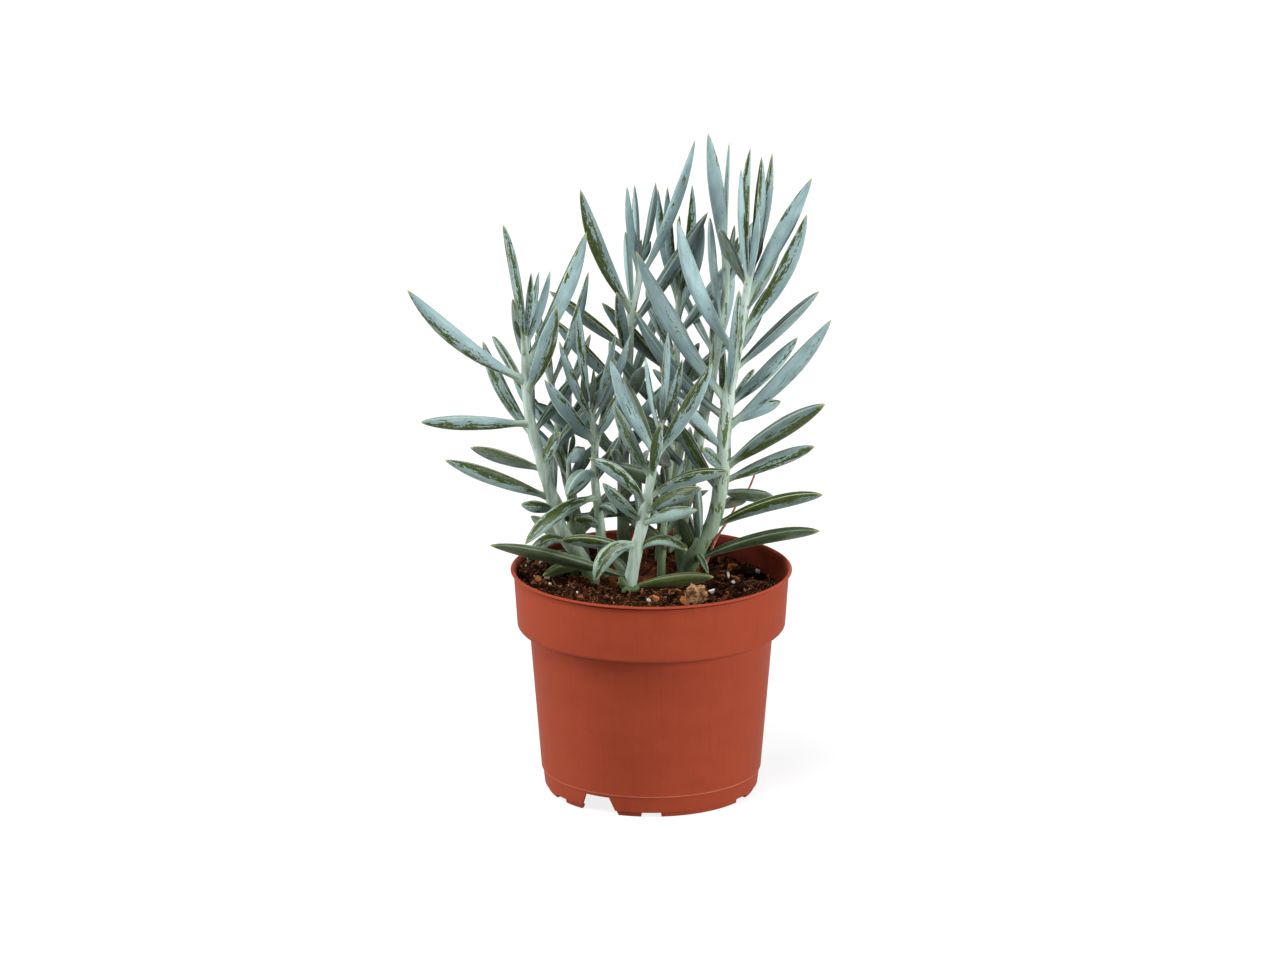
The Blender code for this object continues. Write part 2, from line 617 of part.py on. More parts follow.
def main():
    clear_scene()
    terracotta = plain_material("terracotta plastic", (0.45, 0.11, 0.05), 0.5)
    peat = plain_material("peat", (0.06, 0.025, 0.014), 0.95)
    leaf_blue = plain_material("blue-grey leaf", (0.28, 0.40, 0.40), 0.6)
    lines, leaves = plan_plant(clearing_obstacle())
    make_pot(terracotta)
    make_soil(peat, lines)
    for index, stem in enumerate(STEMS):
        make_stem(index, stem, lines, leaves, leaf_blue)
    print(f"{len(leaves)} leaves on {len(STEMS)} stems")


main()
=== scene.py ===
# %% [markdown]
# # A potted blue chalk-stick succulent
#
# Leafy stems stand in dark peat, in a terracotta-coloured plastic nursery pot. The leaves are thick pointed
# blades on edge, blue-grey with a powdery bloom that has been rubbed off in green streaks. The script
# dresses the plain solids of that plant. It works in millimetres while it plans, because the numbers then
# read as they would on a ruler, and in metres when it makes a mesh.

# %% Load the plain solids
import math
import random
from dataclasses import dataclass

import bmesh
import bpy
from mathutils import Matrix, Vector, noise
from mathutils.bvhtree import BVHTree


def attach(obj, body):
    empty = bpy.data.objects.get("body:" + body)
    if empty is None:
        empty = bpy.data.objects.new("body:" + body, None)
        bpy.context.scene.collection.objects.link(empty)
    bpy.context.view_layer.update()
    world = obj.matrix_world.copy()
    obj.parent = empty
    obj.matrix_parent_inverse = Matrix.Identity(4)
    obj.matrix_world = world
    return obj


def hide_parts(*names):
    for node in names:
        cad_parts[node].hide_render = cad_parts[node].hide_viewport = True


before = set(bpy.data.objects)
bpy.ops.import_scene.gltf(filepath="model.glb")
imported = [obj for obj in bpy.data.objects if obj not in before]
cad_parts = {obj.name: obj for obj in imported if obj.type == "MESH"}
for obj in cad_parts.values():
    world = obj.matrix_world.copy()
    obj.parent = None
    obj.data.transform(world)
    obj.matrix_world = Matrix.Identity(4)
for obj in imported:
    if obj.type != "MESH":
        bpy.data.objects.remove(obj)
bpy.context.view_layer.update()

MM = 0.001
print("solids:", ", ".join(sorted(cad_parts)))

# %% [markdown]
# ## The camera
#
# The photograph is taken from a little above, from far away, so the pot's rim is a flat ellipse and nothing
# looks stretched. A long lens at 2.4 metres gives the same picture. The colours are read as a screen shows
# them, so the plain display transform is used, not the filmic one, which would grey the white floor.

# %% Set up the camera
IMAGE_WIDTH = 1278
SENSOR_WIDTH = 36.0
FOCAL_IN_PIXELS = 5868.0
CAMERA_PLACE = Vector((-5.26, -2400.0, 802.0)) * MM
CAMERA_PITCH = math.radians(15.51)
FARTHEST_SEEN = 60.0


def link(made):
    """Shows an object in the scene."""
    bpy.context.scene.collection.objects.link(made)
    return made


lens = bpy.data.cameras.new("camera")
lens.sensor_width = SENSOR_WIDTH
lens.lens = SENSOR_WIDTH * FOCAL_IN_PIXELS / IMAGE_WIDTH
lens.clip_end = FARTHEST_SEEN
camera = link(bpy.data.objects.new("camera", lens))
camera.location = CAMERA_PLACE
camera.rotation_euler = (math.pi / 2 - CAMERA_PITCH, 0, 0)
bpy.context.scene.camera = camera
bpy.context.scene.view_settings.view_transform = "Standard"
print(f"lens {lens.lens:.0f} mm")

# %% [markdown]
# ## Maths on sockets
#
# A node tree gets long when every plus sign is a node that is made and linked by hand. So one small class
# wraps a node's output and gives it Python's own operators: `1 - mask * 2` adds the nodes it needs. The same
# class serves materials and Geometry Nodes, because both have the Math and Vector Math nodes. Every other
# node comes from one method of the board, which takes the node's kind, its settings and what its sockets get.

# %% A wire: a node's output with Python's operators


class Wire:
    """A node's output. Maths on it adds nodes to its board."""

    def __init__(self, board, socket):
        self.board = board
        self.socket = socket

    def __getitem__(self, name):
        """Another output of the same node."""
        return Wire(self.board, self.socket.node.outputs[name])

    def maths(self, operation, *values):
        values = dict(enumerate((self, *values)))
        return self.board.node("ShaderNodeMath", {"operation": operation}, values)

    def vector_maths(self, operation, *values, out=0):
        values = dict(enumerate((self, *values)))
        return self.board.node("ShaderNodeVectorMath", {"operation": operation}, values, out)

    def is_vector(self):
        return self.socket.type in ("VECTOR", "RGBA")

    def work(self, operation, other):
        if self.is_vector():
            return self.vector_maths(operation, other)
        return self.maths(operation, other)

    def __add__(self, other):
        return self.work("ADD", other)

    __radd__ = __add__

    def __sub__(self, other):
        return self.work("SUBTRACT", other)

    def __rsub__(self, other):
        return self * -1.0 + other

    def __mul__(self, other):
        other_is_vector = isinstance(other, Wire) and other.is_vector()
        if self.is_vector() and not other_is_vector and not isinstance(other, tuple):
            values = {"Vector": self, "Scale": other}
            return self.board.node("ShaderNodeVectorMath", {"operation": "SCALE"}, values)
        if other_is_vector and not self.is_vector():
            return other * self
        return self.work("MULTIPLY", other)

    __rmul__ = __mul__

    def __truediv__(self, other):
        return self.maths("DIVIDE", other)

    def __rtruediv__(self, other):
        return (self ** -1.0) * other

    def __pow__(self, other):
        return self.maths("POWER", other)

    def __abs__(self):
        return self.maths("ABSOLUTE")

    def at_most(self, other):
        return self.maths("MINIMUM", other)

    def at_least(self, other):
        return self.maths("MAXIMUM", other)

    def above(self, other):
        return self.maths("GREATER_THAN", other)

    def rise(self, low, high, start=0.0, end=1.0):
        """Goes smoothly from start to end as this goes from low to high."""
        values = {"Value": self, "From Min": low, "From Max": high, "To Min": start, "To Max": end}
        return self.board.node("ShaderNodeMapRange", {"interpolation_type": "SMOOTHSTEP"}, values)

    def cross(self, other):
        return self.vector_maths("CROSS_PRODUCT", other)

    def unit(self):
        return self.vector_maths("NORMALIZE")

    def size(self):
        return self.vector_maths("LENGTH", out="Value")

    def parts(self):
        """Its X, Y and Z."""
        split = self.board.node("ShaderNodeSeparateXYZ", {}, {0: self})
        return split, split["Y"], split["Z"]


print("a wire can:", ", ".join(name for name in vars(Wire) if not name.startswith("_")))

# %% A board: a node tree that is being filled


class Board:
    """A node tree that is being filled."""

    def __init__(self, tree):
        self.tree = tree
        self.inlet = None

    def node(self, kind, settings=None, values=None, out=0):
        """Adds a node: first its settings, then the values or links of its sockets."""
        made = self.tree.nodes.new(kind)
        for name, value in (settings or {}).items():
            if name == "curve":
                line = made.mapping.curves[0].points
                line[0].location, line[1].location = value[0], value[-1]
                for place in value[1:-1]:
                    line.new(*place)
                made.mapping.update()
            else:
                setattr(made, name, value)
        for key, value in (values or {}).items():
            if isinstance(value, Wire):
                self.tree.links.new(value.socket, made.inputs[key])
            else:
                made.inputs[key].default_value = value
        return Wire(self, made.outputs[out])

    def mix(self, share, first, second):
        """The first colour where the share is 0, the second where it is 1."""
        values = {0: share, 6: first, 7: second}
        return self.node("ShaderNodeMix", {"data_type": "RGBA"}, values, 2)

    def xyz(self, x, y, z):
        return self.node("ShaderNodeCombineXYZ", {}, {0: x, 1: y, 2: z})

    def noise(self, place, scale, detail=3.0, roughness=0.55):
        values = {"Vector": place, "Scale": scale, "Detail": detail, "Roughness": roughness}
        return self.node("ShaderNodeTexNoise", {}, values)

    def nearest_dot(self, place):
        """How far a place is from the nearest of many scattered dots."""
        return self.node("ShaderNodeTexVoronoi", {"feature": "F1"}, {"Vector": place, "Scale": 1.0})

    def bump(self, height, strength, distance):
        values = {"Height": height, "Strength": strength, "Distance": distance}
        return self.node("ShaderNodeBump", {}, values)

    def place_in_object(self):
        """Object coordinates in millimetres."""
        return self.node("ShaderNodeTexCoord")["Object"] * (1 / MM)

    def carried(self, name, out="Fac"):
        """A value that is kept on the mesh, read inside a material."""
        return self.node("ShaderNodeAttribute", {"attribute_name": name})[out]

    def input(self, name, kind, value=None):
        """A named input of the tree, as a wire."""
        item = self.tree.interface.new_socket(name, in_out="INPUT", socket_type="NodeSocket" + kind)
        if value is not None:
            item.default_value = value
        if not self.inlet:
            self.inlet = self.tree.nodes.new("NodeGroupInput")
        return Wire(self, self.inlet.outputs[name])

    def attribute(self, name, kind="FLOAT"):
        """A value that is kept on the mesh, read inside Geometry Nodes."""
        return self.node("GeometryNodeInputNamedAttribute", {"data_type": kind}, {"Name": name})

    def keep(self, geometry, name, value, kind="FLOAT"):
        """The geometry with one more value kept on its points."""
        values = {"Geometry": geometry, "Name": name, "Value": value}
        settings = {"data_type": kind, "domain": "POINT"}
        return self.node("GeometryNodeStoreNamedAttribute", settings, values)

    def result(self, geometry):
        self.tree.interface.new_socket("Geometry", in_out="OUTPUT", socket_type="NodeSocketGeometry")
        outlet = self.tree.nodes.new("NodeGroupOutput")
        self.tree.links.new(geometry.socket, outlet.inputs[0])


print("a board can:", ", ".join(name for name in vars(Board) if not name.startswith("_")))

# %% Helpers that run a tree or start a material


def geometry_board(name):
    board = Board(bpy.data.node_groups.new(name, "GeometryNodeTree"))
    return board, board.input("Geometry", "Geometry")


def grown(start, tree, inputs, name):
    """Runs a Geometry Nodes tree on a starting mesh and keeps only the plain mesh that comes out."""
    modifier = start.modifiers.new(tree.name, "NODES")
    modifier.node_group = tree
    for item in tree.interface.items_tree:
        if item.name in inputs:
            modifier[item.identifier] = inputs[item.name]
    graph = bpy.context.evaluated_depsgraph_get()
    mesh = bpy.data.meshes.new_from_object(start.evaluated_get(graph))
    mesh.name = name
    start.modifiers.remove(modifier)
    bpy.data.objects.remove(start)
    made = link(bpy.data.objects.new(name, mesh))
    print(f"{name}: {len(mesh.vertices)} points, {len(mesh.polygons)} faces")
    return made


PAINT_SHARE = 0.72


def paint(red, green, blue):
    """A colour as the screen shows it, 0 to 255, as the linear colour that shaders use. The lights are
    strong, so the paint itself is darker."""
    shares = [value / 255 for value in (red, green, blue)]
    linear = [v / 12.92 if v < 0.04 else ((v + 0.055) / 1.055) ** 2.4 for v in shares]
    return (*[v * PAINT_SHARE for v in linear], 1.0)


def new_finish(name, **constants):
    """A material with its board, its shader and its constant values set on the shader itself."""
    material = bpy.data.materials.new(name)
    material.use_nodes = True
    shader = material.node_tree.nodes["Principled BSDF"]
    for key, value in constants.items():
        shader.inputs[key.replace("_", " ")].default_value = value
    return material, Board(material.node_tree), shader


def wire_up(shader, **wires):
    """Links varying values to the shader's sockets."""
    for key, wire in wires.items():
        wire.board.tree.links.new(wire.socket, shader.inputs[key.replace("_", " ")])


print("mid grey as a paint:", [round(share, 3) for share in paint(128, 128, 128)])

# %% [markdown]
# ## The floor and the light
#
# A plain pale floor and large soft lights stand in for a white studio. The floor is a light table, which
# glows a little from below, so that it stays white with only a faint shadow round the pot. The world gives an
# even fill from all round. A very wide sun gives the light from above, because it lights the far floor as
# brightly as the near one. Two side panels brighten the pot's left and right edges, and a weak one behind
# keeps the far side from going dark.

# %% Make the floor
FLOOR_SIZE = 14.0
FLOOR_GLOW = 0.84


def make_floor():
    """A plain pale light table under the plant."""
    mesh = bpy.data.meshes.new("floor")
    half = FLOOR_SIZE / 2
    mesh.from_pydata([(-half, -half, 0), (half, -half, 0), (half, half, 0), (-half, half, 0)], [],
                     [(0, 1, 2, 3)])
    material, board, shader = new_finish("light table", Roughness=0.85, Specular_IOR_Level=0.0,
                                         Emission_Strength=FLOOR_GLOW)
    place = board.node("ShaderNodeTexCoord")["Object"]
    tone = board.noise(place, 3.0, 2.0)
    wire_up(shader, Base_Color=board.mix(tone, paint(118, 118, 118), paint(122, 122, 121)),
            Emission_Color=board.mix(tone, (0.99, 0.99, 0.99, 1.0), (1.0, 1.0, 1.0, 1.0)))
    mesh.materials.append(material)
    floor = link(bpy.data.objects.new("floor", mesh))


make_floor()
print(f"floor {FLOOR_SIZE:.0f} m wide")

# %% Make the lights
FILL_LIGHT = 0.16
SUN_ANGLE, SUN_STRENGTH, SUN_LEAN = 30.0, 4.2, (-0.28, -0.42, 1.0)
PANEL_TARGET = (0, 0, 0.13)
# Place and width in metres, and power in watts
PANELS = {"panel left": ((-1.2, 0.0, 0.45), 0.6, 18.0), "panel right": ((1.1, -0.55, 0.4), 0.6, 22.0),
          "panel back": ((0.35, 1.3, 0.7), 0.8, 9.0)}


def add_panel(name, place, size, power):
    """A soft square light that faces the plant."""
    light = bpy.data.lights.new(name, "AREA")
    light.shape = "SQUARE"
    light.size = size
    light.energy = power
    panel = link(bpy.data.objects.new(name, light))
    panel.location = place
    panel.rotation_euler = (Vector(PANEL_TARGET) - Vector(place)).to_track_quat("-Z", "Y").to_euler()


def add_wide_sun(angle, strength, lean):
    """Light from above that comes from a wide disc of sky."""
    light = bpy.data.lights.new("wide sun", "SUN")
    light.angle = math.radians(angle)
    light.energy = strength
    sun = link(bpy.data.objects.new("wide sun", light))
    sun.rotation_euler = Vector(lean).to_track_quat("Z", "Y").to_euler()


def make_world(strength):
    """Even light from all round."""
    world = bpy.data.worlds.new("studio")
    world.use_nodes = True
    background = world.node_tree.nodes["Background"]
    background.inputs["Color"].default_value = (1.0, 1.0, 1.0, 1.0)
    background.inputs["Strength"].default_value = strength
    bpy.context.scene.world = world


make_world(FILL_LIGHT)
add_wide_sun(SUN_ANGLE, SUN_STRENGTH, SUN_LEAN)
for name, (place, size, power) in PANELS.items():
    add_panel(name, place, size, power)
print("world, wide sun and", ", ".join(PANELS))

# %% [markdown]
# ## Where each stem grows
#
# A stem is a curve through a few points, which is smoother and needs less care than a line of many. Its
# leaves that show come from a list: how high each sits on the stem, and where its tip lies from there. The
# stems, lists, rules and seeds are those of the plain solids, so each detailed leaf lies where its plain one
# does.

# %% The stems, and the leaves that the photograph shows


@dataclass
class Stem:
    """A leafy stem in millimetres. A leaf is its height on the stem, how far its tip lies to the right,
    back and up, and where they are marked, its bow and its width."""

    name: str
    thick: float
    hidden_to: float
    path: list
    leaves: list


STEMS = (
    Stem("left", 6.2, 0,
         [(-25, 8, 90), (-31, 6, 101), (-38, 4, 112), (-43, 2, 130), (-46.5, 0, 144), (-51, -2, 161),
          (-53, -3, 179), (-53.5, -4, 200)],
         [(180, -49, -18, 44, 0.055), (161, -46, -20, 6, 0.0), (127, -45, -15, 21, 0.0),
          (140, -32, 18, 5, 0.0), (176, -15, 26, 17), (155, -22, 12, 39, 0.07),
          (192, -8.5, -14, 59, -0.03, 7.2), (197, 3, -3, 31), (197, 6, 6, 29), (194, 11, -4, 35),
          (187, 26, 8, 56, 0.045), (175, 13, -15, 41, 0.05, 7.8), (143, 8, -12, 17, 0.0, 7.4),
          (157, 20, 20, 22), (122, -14, -18, 7, 0.0), (105, -19, -15, -3, -0.27),
          (96, -18, -16, 0, -0.04), (101, -17, -4, -3, -0.08)]),
    Stem("left_back", 5.0, 150,
         [(-28, 25, 90), (-32, 25, 112), (-37, 24, 134), (-40.5, 23, 158), (-44, 22, 181)],
         [(172, 16, -2, 50), (178, -6, 4, 34), (148, -20, 8, 24), (150, 20, -2, 28),
          (138, -16, 10, 14), (128, 14, -10, 16)]),
    Stem("front_left", 4.4, 0,
         [(-20, 12, 90), (-22, 9, 115), (-24, 6, 134), (-24, 4, 152), (-26, 1, 170)],
         [(167, -5, 4, 43), (160, -14, -12, 39), (163, 10, -6, 38), (160, 16, 0, 39),
          (153, 11, -16, 25, 0.05, 6.2), (151, -21, -20, 33), (137, -12, -18, -5, -0.12, 8.0),
          (126, -30, -34, -11, -0.09), (121, 8, -9, 0, -0.10, 5.4), (111, -11, -10, 8, -0.10),
          (133, 10, 8, 18), (116, 16, 12, 12)]),
    Stem("front", 5.6, 0,
         [(-10, -17, 90), (-6.4, -17, 110), (-3.4, -17, 123), (-1, -17.5, 136), (0.6, -18, 147),
          (2.5, -19, 156), (4.5, -20, 168)],
         [(142, 4, -14, 27, 0.03, 6.2), (152, -19, -4, 42), (161, -6, -8, 36), (164, 3, 6, 40),
          (164, 9, -4, 31), (151, 24, -12, 44), (133, 34, -10, 14, -0.06), (126, 24, -22, 17, -0.03),
          (121, 23, -24, 13, -0.03), (108, 22, -6, 3, -0.23), (93, 36, -4, 6, -0.02),
          (112, -18, -14, -12, -0.23, 7.2), (129, -24, -18, 26, -0.08), (122, -17, -10, 20),
          (142, -16, -10, 35), (97, -60, 10, 12, -0.02, 6.6), (109, -32, 10, 2, -0.04),
          (97, -8, 9, 7)]),
    Stem("right", 7.0, 0,
         [(14, 10, 90), (20.5, 8, 104), (26, 7, 114), (28.5, 6, 125), (30.5, 5, 140), (31, 4, 155),
          (32.5, 2.5, 171), (35.5, 1, 190), (38.5, 0, 207), (41, 0, 223), (42, 0, 230)],
         [(157, 44.5, -8, 50, 0.04), (183, 37, 20, 30, 0.01), (167, 30, 10, 28, 0.03), (166, 12, 22, 12),
          (159, 24, 20, 5), (139, 43, -12, 32, -0.02, 8.6), (133, 40, 4, 15, -0.01), (129, 24, 18, -8, 0.0),
          (121, 14, 20, 0), (112, 48, -10, 18, -0.05), (97, 55, 2, 13, -0.05), (101, 5, -14, -5),
          (171, 5, -12, 52, 0.03, 7.6), (191, -25, -12, 61, 0.07), (169, -39, -8, 68, 0.04),
          (162, -39, 14, 44, 0.08), (148, -20, -10, 26), (139, -9, -14, 13, 0.0, 6.6),
          (129, -20, 8, 32), (220, -3, -4, 52), (224, 0.5, 0, 56), (223, 4.4, 1, 53, 0.03, 5.4),
          (221, 9, 10, 55), (221, 4, -7, 34), (219, 12, 15, 41, -0.06), (214, 27.5, -4, 54, 0.0),
          (199, 28, -6, 54, 0.06), (208, 16, 18, 26), (189, 14, 8, 29), (101, -7, 0, 17),
          (104, 1, -6, 29, 0.0, 7.8)]),
    Stem("tall_left", 5.6, 170,
         [(-12, 30, 90), (-12, 29, 118), (-12, 28, 141), (-10.6, 27, 163), (-9.7, 26, 184),
          (-8.5, 25, 201), (-5.5, 25, 216), (-5, 25, 226)],
         [(219, -5, -5, 40), (222, -2, 6, 35), (223, 7, 3, 36), (216, 24, -4, 63), (203, -22, -6, 55, 0.05),
          (203, -3, 14, 32), (182, -5, -14, 33), (196, 33, 8, 49, 0.02), (186, -34, 8, 24),
          (167, -32, 4, 32), (150, 22, -6, 26), (135, -18, 4, 22), (141, -38, -14, 26, 0.02)]),
    Stem("back", 5.0, 180,
         [(4, 37, 90), (6, 37, 120), (9, 37, 150), (10.5, 36, 178), (11.6, 36, 202), (12, 36, 212)],
         [(204, -9, 2, 50), (207, -5, -3, 49), (207, 6, 1, 49), (209, 0, -7, 34), (199, 9, -4, 42),
          (190, 24, -6, 36), (180, -13, 10, 28), (165, 24, 4, 22)]),
    Stem("tall_right", 6.0, 172,
         [(14, 23, 90), (12.5, 23, 107), (16.8, 23, 129), (21, 24, 151), (25.4, 24, 173),
          (28.4, 24, 191), (31.2, 24, 209), (32, 24, 227)],
         [(222, -8, -4, 60, 0.0, 7.2), (205, 2.2, 10, 70, -0.04, 4.4), (198, -5, -10, 49), (214, 12, 12, 26),
          (186, 8, 20, 30), (170, -18, -6, 40)]),
    Stem("low_left", 4.0, 118,
         [(-33, 15, 90), (-34.5, 15, 118), (-35.5, 14, 144)],
         [(140, 7, -9, 8, 0.0, 6.6), (132, -7, 9, 15), (124, 9, 10, 12), (113, -9, -5, 9)]),
    Stem("low_middle", 3.8, 130,
         [(4, 3, 90), (5, 3, 110), (7, 4, 130)],
         [(126, -7, -4, 18), (124, 8, 2, 20), (116, -12, 2, 10), (110, 8, 10, 8)]),
)
print(len(STEMS), "stems,", sum(len(stem.leaves) for stem in STEMS), "leaves seen from the front")

# %% The line of a stem
STEM_STEP = 11.0
ROOT_DEPTH = 14.0
TAPER, TAPER_POWER = 0.55, 1.6


def curve_points(points, step):
    """Points about a step apart on a smooth curve through the given ones."""
    knots = [Vector(p) for p in points]
    knots = [2 * knots[0] - knots[1]] + knots + [2 * knots[-1] - knots[-2]]
    line = []
    for a, b, c, d in zip(knots, knots[1:], knots[2:], knots[3:]):
        count = max(1, round((c - b).length / step))
        for i in range(count):
            t = i / count
            line.append(0.5 * (2 * b + (c - a) * t + (2 * a - 5 * b + 4 * c - d) * t ** 2
                               + (3 * b - 3 * c + d - a) * t ** 3))
    return line + [knots[-2]]


def stem_line(stem):
    """The stem's axis from its root end, in the peat, to its tip."""
    line = curve_points(stem.path, STEM_STEP)
    return [line[0] - Vector((0, 0, ROOT_DEPTH))] + line


def at_height(line, height):
    """The point of a line at a height, or its end if the line stops below that."""
    for a, b in zip(line, line[1:]):
        if b.z >= height:
            return a.lerp(b, (height - a.z) / (b.z - a.z))
    return line[-1].copy()


def stem_girth(stem, share):
    """The stem's radius: thick at the foot, with a gentle taper to the growing tip."""
    return 0.5 * stem.thick * (1 - TAPER * share ** TAPER_POWER)


for stem in STEMS:
    print(f"stem {stem.name}: {stem_line(stem)[-1].z:.0f} mm high, {stem.thick} mm thick")

# %% [markdown]
# ## Which leaves a stem has
#
# The photograph gives the leaves in front. Out of sight, leaves follow the golden angle, the turn of 137.5
# degrees that most plants keep from one leaf to the next, so that no leaf shades the one below. The spiral is
# filled only on the far side and where other stems hide it, and three short young leaves close each tip.

# %% The leaves of a stem
SEED = 20
GOLDEN_ANGLE = math.radians(137.5)
YOUNG_WITHIN, YOUNG_WIDTH = 12.0, 0.64
BUD_LEAVES, BUD_LENGTH, BUD_RISE = 3, 15.0, math.radians(76)
FILL_EVERY, FILL_ABOVE_SOIL = 4.0, 10.0
FILL_LOW_RISE, FILL_MORE_RISE, FILL_LENGTH, FILL_MORE_LENGTH = 12.0, 52.0, 30.0, 24.0
FILL_APART, FILL_TURNED, FILL_FAR_SIDE, FILL_STICKS_OUT = 9.0, 0.8, 0.55, 12.0


@dataclass
class Leaf:
    """One leaf: base on its stem's axis, and its reach from there to the tip. The leaves in the lists keep
    their height and reach to the right as a label."""

    stem: int
    base: Vector
    reach: Vector
    bow: float
    width: float
    roll: float
    seen: bool
    label: tuple = ()


def default_bow(reach):
    """Leaves that point up curve in towards their stem, and level ones arch over."""
    rise = reach.z / reach.length
    return 0.06 * (rise - 0.35)


def leaf_width(length, young):
    """Longer leaves are wider, and those still growing at the tip are slim."""
    full = min(7.6, 4.3 + 0.048 * length)
    return full * (YOUNG_WIDTH if young else 1.0)


def seen_leaves(index, stem, line, draw):
    """The leaves that the photograph shows, from the stem's own list."""
    for height, right, back, up, *marked in stem.leaves:
        reach = Vector((right, back, up))
        young = height > line[-1].z - YOUNG_WITHIN
        bow = marked[0] if marked else default_bow(reach)
        width = marked[1] if len(marked) > 1 else leaf_width(reach.length, young)
        roll = draw.uniform(-0.2, 0.2)
        yield Leaf(index, at_height(line, height), reach, bow, width, roll, True, (height, right))


def spiral_leaves(index, stem, line, seen, draw):
    """Leaves out of sight, a golden angle apart up the stem, wherever the spiral isn't filled yet."""
    low, high = line[1].z + FILL_ABOVE_SOIL, line[-1].z - YOUNG_WITHIN
    heading, height = draw.uniform(0, 2 * math.pi), low
    while height < high:
        heading += GOLDEN_ANGLE
        height += FILL_EVERY
        share = (height - low) / (line[-1].z - low)
        rise = math.radians(FILL_LOW_RISE + FILL_MORE_RISE * share + draw.uniform(-6, 6))
        swell = math.sin(math.pi * min(1.0, share + 0.12))
        length = FILL_LENGTH + FILL_MORE_LENGTH * swell + draw.uniform(-4, 4)
        reach = Vector((math.cos(heading) * math.cos(rise), math.sin(heading) * math.cos(rise),
                        math.sin(rise))) * length
        base = at_height(line, height)
        taken = any(abs(leaf.base.z - height) < FILL_APART
                    and leaf.reach.xy.angle(reach.xy, 0) < FILL_TURNED for leaf in seen)
        hidden = math.sin(heading) > FILL_FAR_SIDE or height < stem.hidden_to
        sticks_out = abs((base + reach).x) - abs(base.x) > FILL_STICKS_OUT
        if hidden and not taken and not sticks_out:
            yield Leaf(index, base, reach, default_bow(reach), leaf_width(length, False),
                       draw.uniform(-0.3, 0.3), False)


def bud_leaves(index, line, draw):
    """The short young leaves that close the tip."""
    turn = draw.uniform(0, 2 * math.pi)
    for i in range(BUD_LEAVES):
        heading = turn + i * 2 * math.pi / BUD_LEAVES
        flat = math.cos(BUD_RISE)
        reach = Vector((math.cos(heading) * flat, math.sin(heading) * flat, math.sin(BUD_RISE)))
        reach *= BUD_LENGTH * draw.uniform(0.75, 1.2)
        yield Leaf(index, line[-1] - Vector((0, 0, 3)), reach, 0.04, 2.6, 0.0, False)


def leaves_of(index, stem, line, draw):
    """All the leaves of a stem, before they are bent clear of each other."""
    seen = list(seen_leaves(index, stem, line, draw))
    return seen + list(spiral_leaves(index, stem, line, seen, draw)) + list(bud_leaves(index, line, draw))


print("a leaf 50 mm long is", round(leaf_width(50.0, False), 1), "mm wide, or",
      round(leaf_width(50.0, True), 1), "while it is young")

# %% [markdown]
# ## A leaf as a plain blade
#
# The blades stand on edge, with their width in the upright plane through the stem. A leaf sags or curls along
# a parabola, which one number gives. The plain blade has four sides and six rings: too few to look at, but
# enough to feel where leaves touch, and fast.

# %% The frame and the plain shape of a leaf
LEAF_OUTLINE = ((0.0, 0.32), (0.14, 0.48), (0.36, 0.88), (0.62, 1.0), (0.86, 0.62))
LEAF_THICKNESS = 0.54


def side_of(along):
    """The level direction square to a leaf, which its thickness has as the blade stands on edge."""
    side = along.cross(Vector((0, 0, 1)))
    if side.length < 0.05:
        side = along.cross(Vector((1, 0, 0)))
    return side.normalized()


def leaf_frame(leaf, u):
    """The middle of the leaf at the share u of its length, with the directions of its width and of its
    thickness."""
    along = leaf.reach.normalized()
    side = side_of(along)
    inward = side.cross(along)
    sag = leaf.bow * leaf.reach.length
    middle = leaf.base + leaf.reach * u - inward * (sag * 4 * u * (1 - u))
    tangent = (leaf.reach - inward * (sag * 4 * (1 - 2 * u))).normalized()
    across = Matrix.Rotation(leaf.roll, 3, tangent) @ side.cross(tangent)
    return middle, across, across.cross(tangent)


def leaf_shape(leaf, grow=0.0, start=0.0):
    """(points, faces) of the leaf as a keeled blade, four-sided in section."""
    points = []
    for u, share in LEAF_OUTLINE:
        if u < start:
            continue
        middle, across, face = leaf_frame(leaf, u)
        half = 0.5 * leaf.width * share + grow
        deep = 0.5 * leaf.width * LEAF_THICKNESS * (0.35 + 0.65 * share) + grow
        points += [middle + across * half, middle - face * deep, middle - across * half,
                   middle + face * deep]
    points.append(leaf_frame(leaf, 1.0)[0] + leaf.reach.normalized() * grow)
    rings, tip = len(points) // 4, len(points) - 1
    faces = [(3, 2, 1, 0)]
    for ring in range(rings - 1):
        for k in range(4):
            a, b = ring * 4 + k, ring * 4 + (k + 1) % 4
            faces.append((a, b, b + 4, a + 4))
    last = (rings - 1) * 4
    faces += [(last + k, last + (k + 1) % 4, tip) for k in range(4)]
    return points, faces


def tube_shape(line, radii, sides):
    """(points, faces) of a tube round a line, closed at both ends."""
    points, faces = [], []
    for i, (p, radius) in enumerate(zip(line, radii)):
        ahead = (line[min(i + 1, len(line) - 1)] - line[max(i - 1, 0)]).normalized()
        across = ahead.cross(Vector((0, 1, 0))).normalized()
        other = ahead.cross(across)
        for k in range(sides):
            turn = 2 * math.pi * k / sides
            points.append(p + (across * math.cos(turn) + other * math.sin(turn)) * radius)
    for i in range(len(line) - 1):
        for k in range(sides):
            a, b = i * sides + k, i * sides + (k + 1) % sides
            faces.append((a, b, b + sides, a + sides))
    last = (len(line) - 1) * sides
    faces.append(tuple(reversed(range(sides))))
    faces.append(tuple(range(last, last + sides)))
    return points, faces


print("a plain leaf has", 4 * len(LEAF_OUTLINE) + 1, "points")

